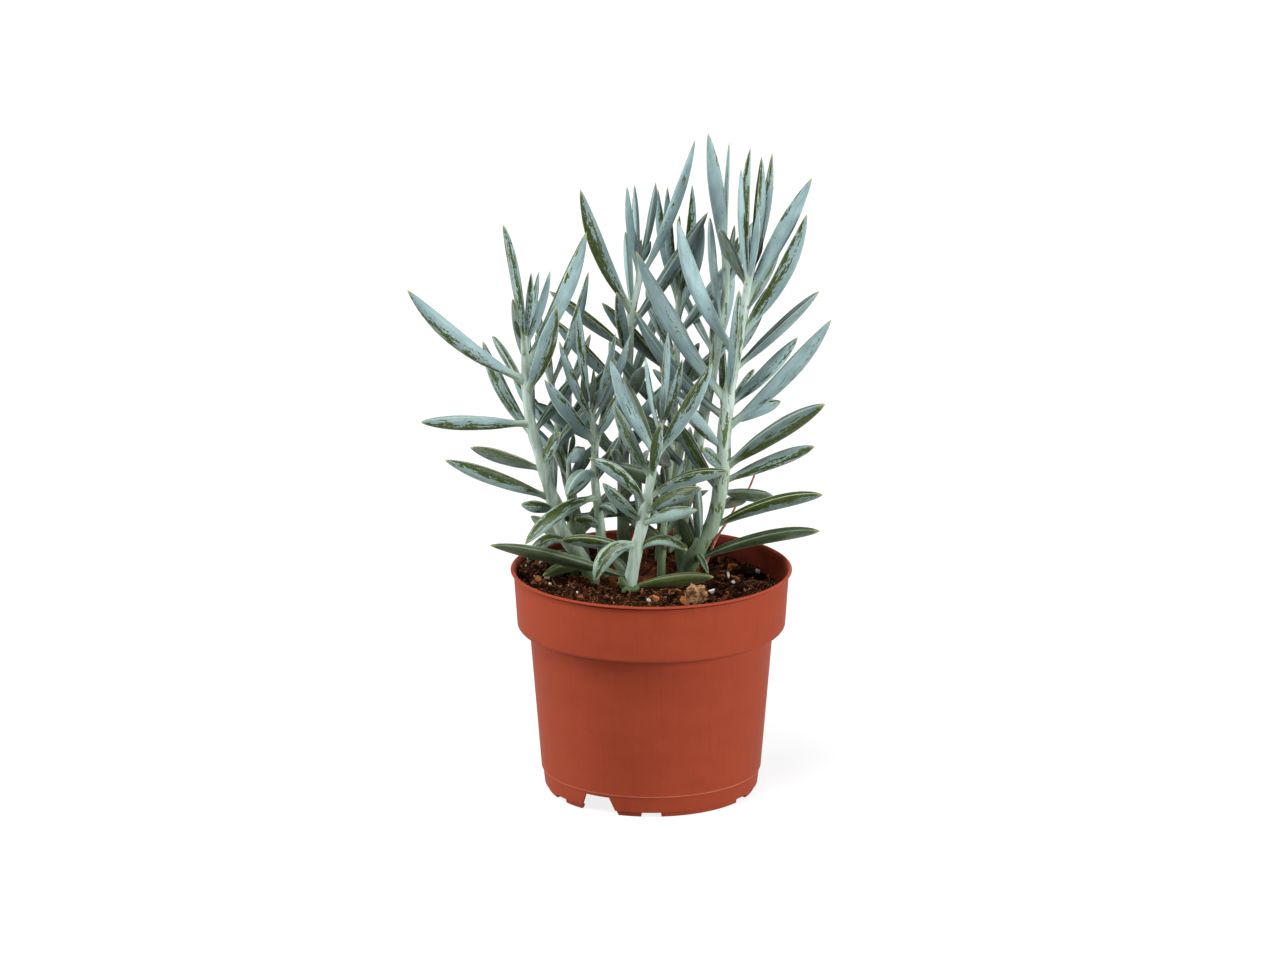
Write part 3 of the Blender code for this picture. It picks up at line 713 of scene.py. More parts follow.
# %% [markdown]
# ## Keeping leaves apart
#
# Real leaves slide past each other as they grow. Here a rule does the same: wherever two plain blades cross,
# both swing a little apart about their bases, and the test is made again. The leaves in front give way least,
# and then hold still while those behind are bent round them.

# %% Bend leaves until they are clear
# How far leaves keep off, in millimetres, and how often and by how much they are moved
CLEARANCE = 0.45
CLEAR_ROUNDS, CLEAR_STEP = 160, 0.7
SEEN_YIELDS = 0.35
STEM_SIDES = 6


def tree_of(shape, lift=0.0):
    """The shape, raised by lift, ready for tests of what crosses it."""
    points, faces = shape
    return BVHTree.FromPolygons([p + Vector((0, 0, lift)) for p in points], faces)


def nearest_shares(a, b):
    """Where along leaf a and leaf b their middles come nearest."""
    shares = [0.1, 0.25, 0.4, 0.55, 0.7, 0.85, 1.0]
    pairs = [((leaf_frame(a, u)[0] - leaf_frame(b, v)[0]).length, u, v) for u in shares for v in shares]
    return min(pairs)[1:]


def push(leaf, share, away):
    """Swings a leaf about its base, so that it moves away at that share of its length."""
    give = CLEAR_STEP * (SEEN_YIELDS if leaf.seen else 1.0)
    length = leaf.reach.length
    leaf.reach = (leaf.reach + away * (give / max(share, 0.3))).normalized() * length


def push_off_line(leaf, line):
    """Swings a leaf away from a stem that it meets."""
    gaps = []
    for share in (0.4, 0.6, 0.8, 1.0):
        p = leaf_frame(leaf, share)[0]
        near = at_height(line, p.z)
        gaps.append(((p - near).length, share, p - near))
    _, share, away = min(gaps, key=lambda gap: gap[0])
    push(leaf, share, away.normalized())


def boxes_meet(a, b):
    return all(a[0][i] < b[1][i] and b[0][i] < a[1][i] for i in range(3))


def box_of(points):
    return [min(p[i] for p in points) for i in range(3)], [max(p[i] for p in points) for i in range(3)]


class Tested:
    """A leaf's slightly grown mesh, whole and without its root end, kept for the clearing rounds."""

    def __init__(self, leaf):
        shape = leaf_shape(leaf, CLEARANCE)
        self.box = box_of(shape[0])
        self.whole = tree_of(shape)
        self.outer = tree_of(leaf_shape(leaf, CLEARANCE, 0.3))


def clear_leaves(leaves, lines, fixed):
    """Bends leaves a little at a time until none meets a leaf, a stem, the pot or the peat. The seen
    leaves are cleared first and then hold still. Returns the leaves that end clear of the rest."""
    stems = [tree_of(tube_shape(line, [r + CLEARANCE for r in radii], STEM_SIDES))
             for line, radii in lines]
    leaves = sorted(leaves, key=lambda leaf: not leaf.seen)
    seen_count = sum(leaf.seen for leaf in leaves)
    tested = [Tested(leaf) for leaf in leaves]
    crossing = bend_clear(leaves, tested, range(seen_count), lines, stems, fixed)
    crossing = bend_clear(leaves, tested, range(seen_count, len(leaves)), lines, stems, fixed)
    return [leaf for i, leaf in enumerate(leaves) if i not in crossing]


def bend_clear(leaves, tested, moving, lines, stems, fixed):
    """Bends the leaves of the moving range off those up to its end. Returns the ones that still cross."""
    for _ in range(CLEAR_ROUNDS):
        met = set()
        for i in moving:
            leaf = leaves[i]
            for j in range(i):
                other = leaves[j]
                if not boxes_meet(tested[i].box, tested[j].box):
                    continue
                same = leaf.stem == other.stem
                mine = tested[i].outer if same else tested[i].whole
                its = tested[j].outer if same else tested[j].whole
                if mine.overlap(its):
                    u, v = nearest_shares(leaf, other)
                    away = leaf_frame(leaf, u)[0] - leaf_frame(other, v)[0]
                    if away.length < 0.2:
                        away = leaf.reach.cross(other.reach)
                    away.normalize()
                    push(leaf, u, away)
                    if j in moving:
                        push(other, v, -away)
                    met |= {i, j}
            for k, tree in enumerate(stems):
                mine = tested[i].outer if k == leaf.stem else tested[i].whole
                if mine.overlap(tree):
                    push_off_line(leaf, lines[k][0])
                    met.add(i)
            if tested[i].outer.overlap(fixed):
                push(leaf, 0.6, Vector((0, 0, 1)))
                met.add(i)
        met &= set(moving)
        for i in met:
            tested[i] = Tested(leaves[i])
        if not met:
            break
    return met


print("leaves keep", CLEARANCE, "mm off, in steps of", CLEAR_STEP, "mm")

# %% [markdown]
# ## The pot's outline
#
# A nursery pot is thin sheet plastic drawn over a mould, so it is one turned wall: a foot ring, a tapered
# side, a collar that steps out, and a rolled lip. Turning one closed outline about the axis gives the wall
# its thickness as well. The outline is needed here already, because leaves keep off the pot.

# %% The pot's outline
POT_SIDES = 48
RIM_RADIUS, POT_HEIGHT = 60.0, 97.3
COLLAR_FOOT_RADIUS, COLLAR_FOOT_HEIGHT = 57.2, 71.6
WALL_TOP_RADIUS, WALL_FOOT_RADIUS = 52.1, 47.1
SEAM_HEIGHT = 9.5
FOOT_RADIUS, FOOT_WIDTH, FOOT_RISE = 44.4, 1.9, 2.0
FLOOR_HEIGHT, CENTRE_PAD_RADIUS = 8.6, 16.0
WALL, FLOOR = 1.3, 1.6
LIP_OUT, LIP_DEPTH, LIP_WIDTH, LIP_ROUNDING = 1.3, 1.9, 1.7, 0.5


def turned_shape(profile, sides):
    """(points, faces) of a closed profile of (radius, height) points turned about Z. It starts and ends
    on the axis, and runs up the outside."""
    points, rings = [], []
    for radius, height in profile:
        count = sides if radius > 0 else 1
        rings.append(list(range(len(points), len(points) + count)))
        for k in range(count):
            turn = 2 * math.pi * k / sides
            points.append(Vector((radius * math.cos(turn), radius * math.sin(turn), height)))
    faces = []
    for low, high in zip(rings, rings[1:]):
        for k in range(sides):
            after = (k + 1) % sides
            a, b = low[k % len(low)], low[after % len(low)]
            c, d = high[after % len(high)], high[k % len(high)]
            faces.append(tuple(dict.fromkeys((a, b, c, d))))
    return points, faces


def pot_profile():
    """Up the outside from the middle of the base to the lip, and down the inside."""
    lip = POT_HEIGHT
    collar_top = RIM_RADIUS - LIP_OUT
    foot_in = FOOT_RADIUS - FOOT_WIDTH
    floor = FLOOR_HEIGHT + FLOOR
    return [
        (0, 0), (CENTRE_PAD_RADIUS, 0), (CENTRE_PAD_RADIUS + 2, FLOOR_HEIGHT),
        (WALL_FOOT_RADIUS - 2, FLOOR_HEIGHT), (foot_in + 1.7, FOOT_RISE + 0.6), (foot_in, FOOT_RISE - 0.4),
        (foot_in, 0), (FOOT_RADIUS, 0), (FOOT_RADIUS + 0.2, FOOT_RISE),
        (FOOT_RADIUS + 1.3, FOOT_RISE + 0.2), (WALL_FOOT_RADIUS - 0.6, SEAM_HEIGHT - 0.4),
        (WALL_FOOT_RADIUS, SEAM_HEIGHT), (WALL_TOP_RADIUS, COLLAR_FOOT_HEIGHT),
        (COLLAR_FOOT_RADIUS - 0.9, COLLAR_FOOT_HEIGHT), (COLLAR_FOOT_RADIUS, COLLAR_FOOT_HEIGHT + 1.2),
        (collar_top, lip - LIP_DEPTH - 1.1), (RIM_RADIUS, lip - LIP_DEPTH),
        (RIM_RADIUS, lip - LIP_ROUNDING),
        (RIM_RADIUS - LIP_ROUNDING, lip), (RIM_RADIUS - LIP_WIDTH, lip), (collar_top - WALL, lip - 1.8),
        (COLLAR_FOOT_RADIUS - WALL, COLLAR_FOOT_HEIGHT + 1.6),
        (WALL_TOP_RADIUS - WALL, COLLAR_FOOT_HEIGHT + 1.2), (WALL_FOOT_RADIUS - WALL, floor + 1),
        (WALL_FOOT_RADIUS - WALL - 1, floor), (CENTRE_PAD_RADIUS + 0.8, floor),
        (CENTRE_PAD_RADIUS - 1.2, FLOOR), (0, FLOOR),
    ]


print("the pot's outline has", len(pot_profile()), "corners")

# %% [markdown]
# ## The peat's outline
#
# The peat fills the pot to just under its lip. Its side is turned like the pot, a little inside it. Its top
# is pushed up and down by a height rule: a gentle slope, with lumps from two layers of noise.

# %% The peat's outline
GAP = 0.3
SOIL_SIDES, SOIL_RINGS = 40, 9
SOIL_HEIGHT, SOIL_SLOPE = 90.0, 0.055
CLOD_SIZE, CLOD_RELIEF = 15.0, 2.6


def soil_height(x, y):
    """The top of the peat: lumpy, highest at the front left and lower at the back right."""
    p = Vector((x / CLOD_SIZE, y / CLOD_SIZE, 3.0))
    lumps = noise.noise(p) + 0.5 * noise.noise(p * 2.1)
    return SOIL_HEIGHT - SOIL_SLOPE * (0.8 * x + 0.6 * y) + CLOD_RELIEF * lumps


def soil_sides():
    """The peat's outline inside the pot, and the radius of its top."""
    bed = FLOOR_HEIGHT + FLOOR + GAP
    inner = [
        (CENTRE_PAD_RADIUS - 1.6, FLOOR + GAP), (CENTRE_PAD_RADIUS + 0.4, bed),
        (WALL_FOOT_RADIUS - WALL - 1.4, bed), (WALL_FOOT_RADIUS - WALL - 0.5, bed + 1),
        (WALL_TOP_RADIUS - WALL - 0.5, COLLAR_FOOT_HEIGHT + 2.0),
        (COLLAR_FOOT_RADIUS - WALL - 0.5, COLLAR_FOOT_HEIGHT + 2.2),
    ]
    return inner, COLLAR_FOOT_RADIUS - WALL + 0.25


def peat_shape(height_at, sides, ring_count):
    """(points, faces) of the plug of peat, with its top raised by a height rule."""
    inner, edge = soil_sides()
    rings = [(edge * (ring_count - k) / ring_count, SOIL_HEIGHT) for k in range(ring_count)]
    points, faces = turned_shape([(0, inner[0][1])] + inner + rings + [(0, SOIL_HEIGHT)], sides)
    for p in points[1 + len(inner) * sides:]:
        p.z = height_at(p.x, p.y)
    return points, faces


def clearing_obstacle():
    """The pot and the peat as one mesh, for the leaves to keep off."""
    pot_points, pot_faces = turned_shape(pot_profile(), POT_SIDES)
    soil_points, soil_faces = peat_shape(soil_height, SOIL_SIDES, SOIL_RINGS)
    shift = len(pot_points)
    faces = pot_faces + [tuple(i + shift for i in face) for face in soil_faces]
    return tree_of((pot_points + soil_points, faces), 0.5)


print(f"the peat's top is {soil_height(0, 0):.1f} mm up on the pot's axis")

# %% Place every leaf


def plan_plant(fixed):
    """Every leaf in its final place, in millimetres, clear of the stems and of what is fixed."""
    lines, leaves = [], []
    for index, stem in enumerate(STEMS):
        line = stem_line(stem)
        last = len(line) - 1
        lines.append((line, [stem_girth(stem, i / last) for i in range(last + 1)]))
        leaves += leaves_of(index, stem, line, random.Random(SEED + index))
    return clear_leaves(leaves, lines, fixed)


leaves = plan_plant(clearing_obstacle())
print(len(leaves), "leaves in place")

# %% [markdown]
# ## How a leaf is shaped
#
# A chalk-stick leaf is a long blade on edge. Its lower edge is a keel, and its upper edge is a narrow trough
# between two pale margins, so its section is a slim teardrop with a dent in its round end. There are nearly
# two hundred, and all follow one rule, so Geometry Nodes make them: a unit cone is copied to every leaf's
# place, and each copy is bent into a blade by the numbers kept on its point. Upright leaves end in a long
# sharp tip and level ones are blunter. The stem is a curve with a girth at each point, swept with a circle.

# %% The outlines and sections of a leaf
SHARP_OUTLINE = ((0.0, 0.62), (0.05, 0.52), (0.09, 0.45), (0.13, 0.45), (0.20, 0.58), (0.34, 0.84),
                 (0.50, 0.97), (0.60, 1.0), (0.73, 0.88), (0.85, 0.60), (0.94, 0.31), (1.0, 0.0))
BLUNT_OUTLINE = ((0.0, 0.56), (0.05, 0.46), (0.09, 0.39), (0.13, 0.38), (0.20, 0.50), (0.34, 0.76),
                 (0.50, 0.92), (0.67, 1.0), (0.79, 0.95), (0.89, 0.73), (0.955, 0.42), (1.0, 0.0))
BLADE_DEPTH = ((0.0, 0.80), (0.05, 0.70), (0.12, 0.62), (0.34, 0.90), (0.60, 1.0), (0.80, 0.86),
               (0.92, 0.56), (0.98, 0.26), (1.0, 0.0))
# Half a section, from the middle of the upper edge (0) round to the keel (1): how far across, and out
TROUGH_ACROSS = ((0.0, 0.72), (0.12, 0.80), (0.22, 0.97), (0.28, 0.94), (0.5, 0.38), (0.75, -0.45),
                 (0.92, -0.90), (1.0, -1.0))
TROUGH_OUT = ((0.0, 0.0), (0.12, 0.34), (0.22, 0.62), (0.28, 0.80), (0.5, 1.0), (0.75, 0.70),
              (0.92, 0.27), (1.0, 0.0))
ROUND_ACROSS = ((0.0, 1.0), (0.12, 0.95), (0.25, 0.76), (0.5, 0.08), (0.75, -0.62), (0.92, -0.94),
                (1.0, -1.0))
ROUND_OUT = ((0.0, 0.0), (0.12, 0.40), (0.25, 0.74), (0.5, 1.0), (0.75, 0.68), (0.92, 0.25), (1.0, 0.0))
print("a leaf is widest at", max(SHARP_OUTLINE, key=lambda knot: knot[1])[0], "of its length")

# %% The Geometry Nodes that grow a stem
# Rings crowd by this share towards a leaf's base and tip, where its outline turns most
RING_CROWDING = 0.55
STEM_RELIEF = 0.7 * MM
# Luck moves the pattern by up to this many millimetres, so that no two leaves are marked alike
PATTERN_SHIFT = 97.0


def leafy_stem_tree():
    """Turns a skeleton of points into a stem with its bent blades."""
    board, skeleton = geometry_board("leafy stem")
    sides = board.input("Blade sides", "Int", 16)
    rings = board.input("Blade rings", "Int", 20)
    thickness = board.input("Blade thickness", "Float", LEAF_THICKNESS)
    stem_sides = board.input("Stem sides", "Int", 18)
    leaf_finish = board.input("Leaf finish", "Material")
    stem_finish = board.input("Stem finish", "Material")
    is_leaf = board.attribute("is_leaf")
    split = board.node("GeometryNodeSeparateGeometry", {"domain": "POINT"},
                       {"Geometry": skeleton, "Selection": is_leaf})
    place = board.node("GeometryNodeInputPosition")

    cone = board.node("GeometryNodeMeshCone", {"fill_type": "NGON"},
                      {"Vertices": sides, "Side Segments": rings, "Radius Top": 0.0,
                       "Radius Bottom": 1.0, "Depth": 1.0})
    cone = board.keep(cone, "cone_place", place, "FLOAT_VECTOR")
    copies = board.node("GeometryNodeInstanceOnPoints", {}, {"Points": split, "Instance": cone})
    blades = board.node("GeometryNodeRealizeInstances", {}, {"Geometry": copies})

    x, y, z = board.attribute("cone_place", "FLOAT_VECTOR").parts()
    crowded = (1.0 - (z * math.pi).maths("COSINE")) * 0.5
    share = z * (1.0 - RING_CROWDING) + crowded * RING_CROWDING
    round_it = abs(y).maths("ARCTAN2", x) / math.pi
    hand = y.maths("SIGN")

    def read(curve, value):
        """A curve's value. The node clips at 0 and 1, so a curve from -1 to 1 is squeezed, then stretched."""
        squeezed = [(place, height / 2 + 0.5) for place, height in curve]
        return board.node("ShaderNodeFloatCurve", {"curve": squeezed}, {"Value": value}) * 2.0 - 1.0

    def blend(amount, first, second):
        return first * (1.0 - amount) + second * amount

    reach = board.attribute("reach", "FLOAT_VECTOR")
    inward = board.attribute("inward", "FLOAT_VECTOR")
    side = board.attribute("side", "FLOAT_VECTOR")
    width = board.attribute("width")
    outline = blend(board.attribute("blunt"), read(SHARP_OUTLINE, share), read(BLUNT_OUTLINE, share))
    trough = board.attribute("trough")
    edge = blend(trough, read(ROUND_ACROSS, round_it), read(TROUGH_ACROSS, round_it))
    swell = blend(trough, read(ROUND_OUT, round_it), read(TROUGH_OUT, round_it)) * hand

    length = reach.size()
    sag = length * board.attribute("bow") * 4.0
    middle = (board.attribute("base", "FLOAT_VECTOR") + reach * share
              - inward * (sag * share * (1.0 - share)))
    tangent = (reach - inward * (sag * (1.0 - share * 2.0))).unit()
    level = side.cross(tangent)
    roll = board.attribute("roll") + board.attribute("twist") * (share - 0.5)
    across = level * roll.maths("COSINE") + tangent.cross(level) * roll.maths("SINE")
    outward = tangent.cross(across)

    reach_across = edge * outline * width * 0.5
    reach_out = swell * read(BLADE_DEPTH, share) * width * thickness * 0.5
    surface = middle + across * reach_across + outward * reach_out
    blades = board.node("GeometryNodeSetPosition", {}, {"Geometry": blades, "Position": surface})
    blades = board.keep(blades, "along", share)
    blades = board.keep(blades, "edge", edge)
    blades = board.keep(blades, "round_it", round_it)
    shift = board.attribute("luck") * PATTERN_SHIFT
    in_leaf = board.xyz(length * share, reach_across, reach_out) * (1 / MM) + board.xyz(0.0, 0.0, shift)
    blades = board.keep(blades, "leaf_place", in_leaf, "FLOAT_VECTOR")

    curve = board.node("GeometryNodeMeshToCurve", {}, {"Mesh": split["Inverted"]})
    circle = board.node("GeometryNodeCurvePrimitiveCircle", {}, {"Resolution": stem_sides, "Radius": 1.0})
    tube = board.node("GeometryNodeCurveToMesh", {},
                      {"Curve": curve, "Profile Curve": circle, "Scale": board.attribute("girth"),
                       "Fill Caps": True})
    normal = board.node("GeometryNodeInputNormal")
    ridges = board.noise(place * (300.0, 300.0, 90.0), 1.0, 2.0) - 0.5
    tube = board.node("GeometryNodeSetPosition", {},
                      {"Geometry": tube, "Offset": normal * (ridges * STEM_RELIEF)})

    both = board.node("GeometryNodeJoinGeometry", {}, {"Geometry": tube})
    board.tree.links.new(blades.socket, both.socket.node.inputs[0])
    whole = board.node("GeometryNodeRealizeInstances", {}, {"Geometry": both})
    whole = board.node("GeometryNodeSetShadeSmooth", {}, {"Geometry": whole})
    whole = board.node("GeometryNodeSetMaterial", {}, {"Geometry": whole, "Material": stem_finish})
    whole = board.node("GeometryNodeSetMaterial", {},
                       {"Geometry": whole, "Selection": is_leaf, "Material": leaf_finish})
    board.result(whole)
    return board.tree


leafy_tree = leafy_stem_tree()
print("leafy stem tree:", len(leafy_tree.nodes), "nodes")

# %% [markdown]
# ## The skin of a leaf
#
# The blue is not in the leaf: it is a white wax on green skin. Where fingers or other leaves have rubbed the
# wax away, ragged olive streaks show, with a trail of specks. The wax is thinner at the margins, at the
# tip, which is yellow-green, and near the stem, and leaves low on the plant have less of it. So the material
# is green skin under a mask of wax, and the pattern reads the place in the leaf that the blades carry, so it
# follows each leaf's bend.

# %% The leaf's material
# The wax is off where all that rubs it adds up to more than this
BARE_ABOVE = 0.555
# Leaves are greener below these heights, wholly under the first and not at all over the second
LOW_FROM, LOW_TO = 98.0, 172.0


def leaf_finish():
    """Green skin under a mask of blue-white wax."""
    material, board, shader = new_finish("waxy leaf", IOR=1.42, Specular_IOR_Level=0.4, Sheen_Weight=0.08,
                                         Sheen_Roughness=0.4)
    place = board.carried("leaf_place", "Vector")
    along, edge, round_it = board.carried("along"), board.carried("edge"), board.carried("round_it")
    luck, wax = board.carried("luck"), board.carried("wax")
    low = 1.0 - board.place_in_object().parts()[2].rise(LOW_FROM, LOW_TO)

    # Noise stretched along the leaf, from broad clouds to fine grain
    clouds = board.noise(place * (0.06, 0.20, 0.20), 1.0, 3.0)
    streaks = board.noise(place * (0.11, 0.85, 0.85), 1.0, 4.0, 0.6)
    ragged = board.noise(place * (0.60, 1.7, 1.7), 1.0, 5.0, 0.72)
    fine = board.noise(place * (2.2, 5.0, 5.0), 1.0, 3.0, 0.6)

    # Where the wax is rubbed off, with a pale rim of pushed-up wax and a trail of specks round it
    in_trough = 1.0 - round_it.rise(0.17, 0.24)
    near_rub = 1.0 - abs(edge - board.carried("rub_side"))
    rubbing = (near_rub * 0.36 + board.carried("rub") * 0.40 + in_trough * 0.13 + (streaks - 0.5) * 1.5
               + (ragged - 0.5) * 1.2 + low * 0.12)
    bare = rubbing.rise(BARE_ABOVE, BARE_ABOVE + 0.01)
    halo = rubbing.rise(BARE_ABOVE - 0.215, BARE_ABOVE + 0.045)
    rim = rubbing.rise(BARE_ABOVE - 0.09, BARE_ABOVE - 0.007) * (1.0 - bare)
    specks = 1.0 - board.nearest_dot(place * (0.62, 1.2, 1.2)).rise(0.13, 0.20)
    specks = specks * halo.rise(0.0, 0.8, 0.35, 1.0) * fine.rise(0.42, 0.52)

    # Parts of the leaf that are paler, at the margins and keel partly as a painted highlight
    margin = 1.0 - abs(round_it - 0.25).rise(0.0, 0.05)
    keel = round_it.rise(0.94, 0.995)
    tip = along.rise(0.93, 0.99)
    foot = 1.0 - along.rise(0.05, 0.22)

    # The wax, bluer or whiter by its clouds and streaks, greyer in the trough and greener low down
    colour = board.mix(clouds.rise(0.3, 0.7), paint(112, 140, 142), paint(148, 177, 179))
    colour = board.mix(streaks.rise(0.45, 0.75) * 0.4, colour, paint(179, 198, 199))
    colour = board.mix(in_trough * 0.5, colour, paint(100, 126, 112))
    colour = board.mix(low * 0.36, colour, paint(114, 134, 82))
    colour = board.mix(rim * 0.5, colour, paint(186, 203, 202))

    # Leaves that have lost their wax as a whole, and a darker tone by luck: partly each leaf's own tone,
    # partly painted shade, most on the leaves inside the plant and those listed darker in front
    green = board.mix(wax.rise(0.0, 0.15), paint(94, 106, 34), paint(48, 62, 30))
    green = board.mix(streaks.rise(0.35, 0.65) * 0.35, green, paint(112, 134, 76))
    last_wax = streaks.rise(0.50, 0.54) * wax.rise(0.06, 0.15, 0.0, 0.85)
    green = board.mix(last_wax, green, paint(108, 129, 142))
    colour = board.mix((1.0 - wax.rise(0.08, 0.88)) * clouds.rise(0.2, 0.8, 0.8, 1.0), colour, green)
    shade = board.mix(wax.rise(0.1, 0.6), paint(42, 48, 14), paint(38, 56, 50))
    colour = board.mix(luck * luck * 0.55, colour, shade)

    # The bare patches, and the paler parts over them
    skin = board.mix(ragged.rise(0.35, 0.65), paint(28, 40, 6), paint(68, 88, 16))
    colour = board.mix(bare.at_least(specks) * wax.rise(0.0, 0.4, 0.55, 1.0), colour, skin)
    # The margins and keel: partly their own paler edge, partly a painted highlight along the ridges
    pale_edge_and_highlight = margin.at_least(keel * 0.6) * wax.rise(0.0, 0.6, 0.35, 0.9)
    colour = board.mix(pale_edge_and_highlight, colour, paint(196, 206, 178))
    colour = board.mix(foot * 0.60 * wax, colour, paint(170, 188, 162))
    colour = board.mix(tip * 0.75, colour, paint(148, 152, 92))

    # Bare skin is a little sunken and glossier than wax
    relief = streaks * 0.5 + ragged * 0.3 + fine * 0.2 - bare * 0.5
    gloss = bare.rise(0.0, 1.0, 0.56, 0.36) + (fine - 0.5) * 0.12
    wire_up(shader, Base_Color=colour, Roughness=gloss, Normal=board.bump(relief, 0.45, 0.0005))
    return material


waxy_leaf = leaf_finish()
print("material:", waxy_leaf.name)

# %% The stem's material


def stem_finish():
    """Pale green with a thin wax, a few brown dots and lengthwise streaks."""
    material, board, shader = new_finish("waxy stem", IOR=1.42, Specular_IOR_Level=0.35)
    place = board.place_in_object()
    height = place.parts()[2]
    wax = board.carried("wax")
    streaks = board.noise(place * (0.7, 0.7, 0.09), 1.0, 3.0, 0.5)
    patches = board.noise(place * (0.45, 0.45, 0.10), 1.0, 5.0, 0.65)
    dots = 1.0 - board.nearest_dot(place * (0.6, 0.6, 0.42)).rise(0.05, 0.13)

    # The wax, which thins towards the foot
    colour = board.mix(streaks.rise(0.3, 0.7), paint(156, 178, 160), paint(188, 204, 198))
    thin = (1.0 - height.rise(100.0, 170.0)) * wax.rise(0.5, 1.0, 0.6, 0.2)
    colour = board.mix(thin, colour, paint(116, 138, 98))

    # Green patches where it is rubbed off, more of them low down and on stems with little wax
    rubbed = patches.rise(0.570, 0.582) * wax.rise(0.6, 1.0, 0.95, 0.12)
    colour = board.mix(rubbed, colour, paint(80, 98, 42))
    rubbed_low = (1.0 - height.rise(90.0, 150.0)) * (1.0 - wax) * patches.rise(0.3, 0.5, 0.55, 0.95)
    colour = board.mix(rubbed_low, colour, paint(96, 114, 64))
    foot = (1.0 - height.rise(93.0, 112.0)) * wax.rise(0.88, 1.0, 0.85, 0.1)
    colour = board.mix(foot * streaks.rise(0.2, 0.5, 0.6, 1.0), colour, paint(66, 86, 46))
    colour = board.mix(dots * 0.6, colour, paint(106, 102, 66))
    gloss = streaks.rise(0.3, 0.7, 0.5, 0.68)
    wire_up(shader, Base_Color=colour, Roughness=gloss, Normal=board.bump(streaks, 0.2, 0.0006))
    return material


waxy_stem = stem_finish()
print("material:", waxy_stem.name)

# %% [markdown]
# ## The stems with their leaves
#
# Each stem starts as a skeleton: a fine line of points up its axis, and one loose point for each leaf. The
# numbers that shape and mark the leaves are kept on those points. Low leaves have lost most of their wax to
# splashes and handling, and so have those inside, which a rule on their place gives, with a seeded draw for
# the rest. A few tables then give single leaves in front the marks that the photograph shows on them. A leaf
# is named there by its height on its stem and its reach to the right, as in the stems' own lists.

# %% What handling has done to the leaves in front
# How much wax each leaf has left, how much of it is rubbed, and where: -1 is the keel, 1 the upper edge
MARKS = {
    "left": {(192, -8.5): (1.0, 0.92, -0.4), (187, 26): (1.0, 0.4, 0.9), (180, -49): (1.0, 0.8, -0.9),
             (176, -15): (0.7, 0.9, 0.0), (175, 13): (1.0, 0.9, -0.8), (161, -46): (0.9, 1.0, -0.6),
             (155, -22): (1.0, 0.8, 0.0), (143, 8): (1.0, 1.15, 0.1), (140, -32): (0.35, 1.15, 0.9),
             (127, -45): (0.9, 1.35, 0.9), (122, -14): (0.9, 0.8, 0.2), (105, -19): (0.85, 0.8, 0.2),
             (101, -17): (0.2, 0.6, 0.0), (96, -18): (0.05, 0.6, 0.0)},
    "front_left": {(153, 11): (1.0, 1.05, 0.5), (137, -12): (1.0, 0.15, 0.0), (126, -30): (0.95, 0.9, 0.3),
                   (121, 8): (1.0, 0.45, 0.0), (111, -11): (0.8, 0.6, 0.0)},
    "front": {(161, -6): (1.0, 0.95, 0.6), (152, -19): (1.0, 0.35, 0.0), (151, 24): (1.0, 1.3, 0.9),
              (142, -16): (0.9, 0.85, -0.2), (142, 4): (1.0, 1.45, 0.2), (133, 34): (1.0, 1.05, 1.0),
              (129, -24): (1.0, 0.85, 0.4), (126, 24): (0.9, 1.45, 0.9), (121, 23): (0.9, 0.75, 0.9),
              (112, -18): (0.85, 0.62, 0.1), (109, -32): (0.6, 0.9, 0.6), (108, 22): (0.85, 0.65, 0.2),
              (97, -60): (0.11, 0.8, -0.2), (97, -8): (0.1, 0.5, 0.0), (93, 36): (0.0, 0.5, 0.0)},
    "right": {(214, 27.5): (1.0, 0.5, 0.9), (191, -25): (1.0, 0.05, 0.0), (183, 37): (1.0, 0.2, 0.0),
              (169, -39): (1.0, 0.05, 0.0), (157, 44.5): (1.0, 0.35, -0.4), (139, -9): (0.6, 0.6, 0.0),
              (139, 43): (1.0, 1.35, -0.8), (129, 24): (0.35, 0.7, 0.0), (121, 14): (0.35, 0.7, 0.0),
              (112, 48): (0.9, 1.2, 0.9), (104, 1): (0.75, 0.75, 0.2), (101, 5): (0.4, 0.8, 0.0),
              (97, 55): (0.15, 1.05, 0.0)},
    "tall_left": {(216, 24): (1.0, 0.3, 0.0), (203, -22): (1.0, 1.3, -0.8)},
    "tall_right": {(222, -8): (1.0, 0.45, 0.9)},
}
# Leaves that show a broad face where the rule would show their upper edge: their turn, in radians
TURNED = {
    "left": {(105, -19): 0.9},
    "front_left": {(126, -30): 0.7},
    "front": {(112, -18): 0.45, (108, 22): -1.0},
}
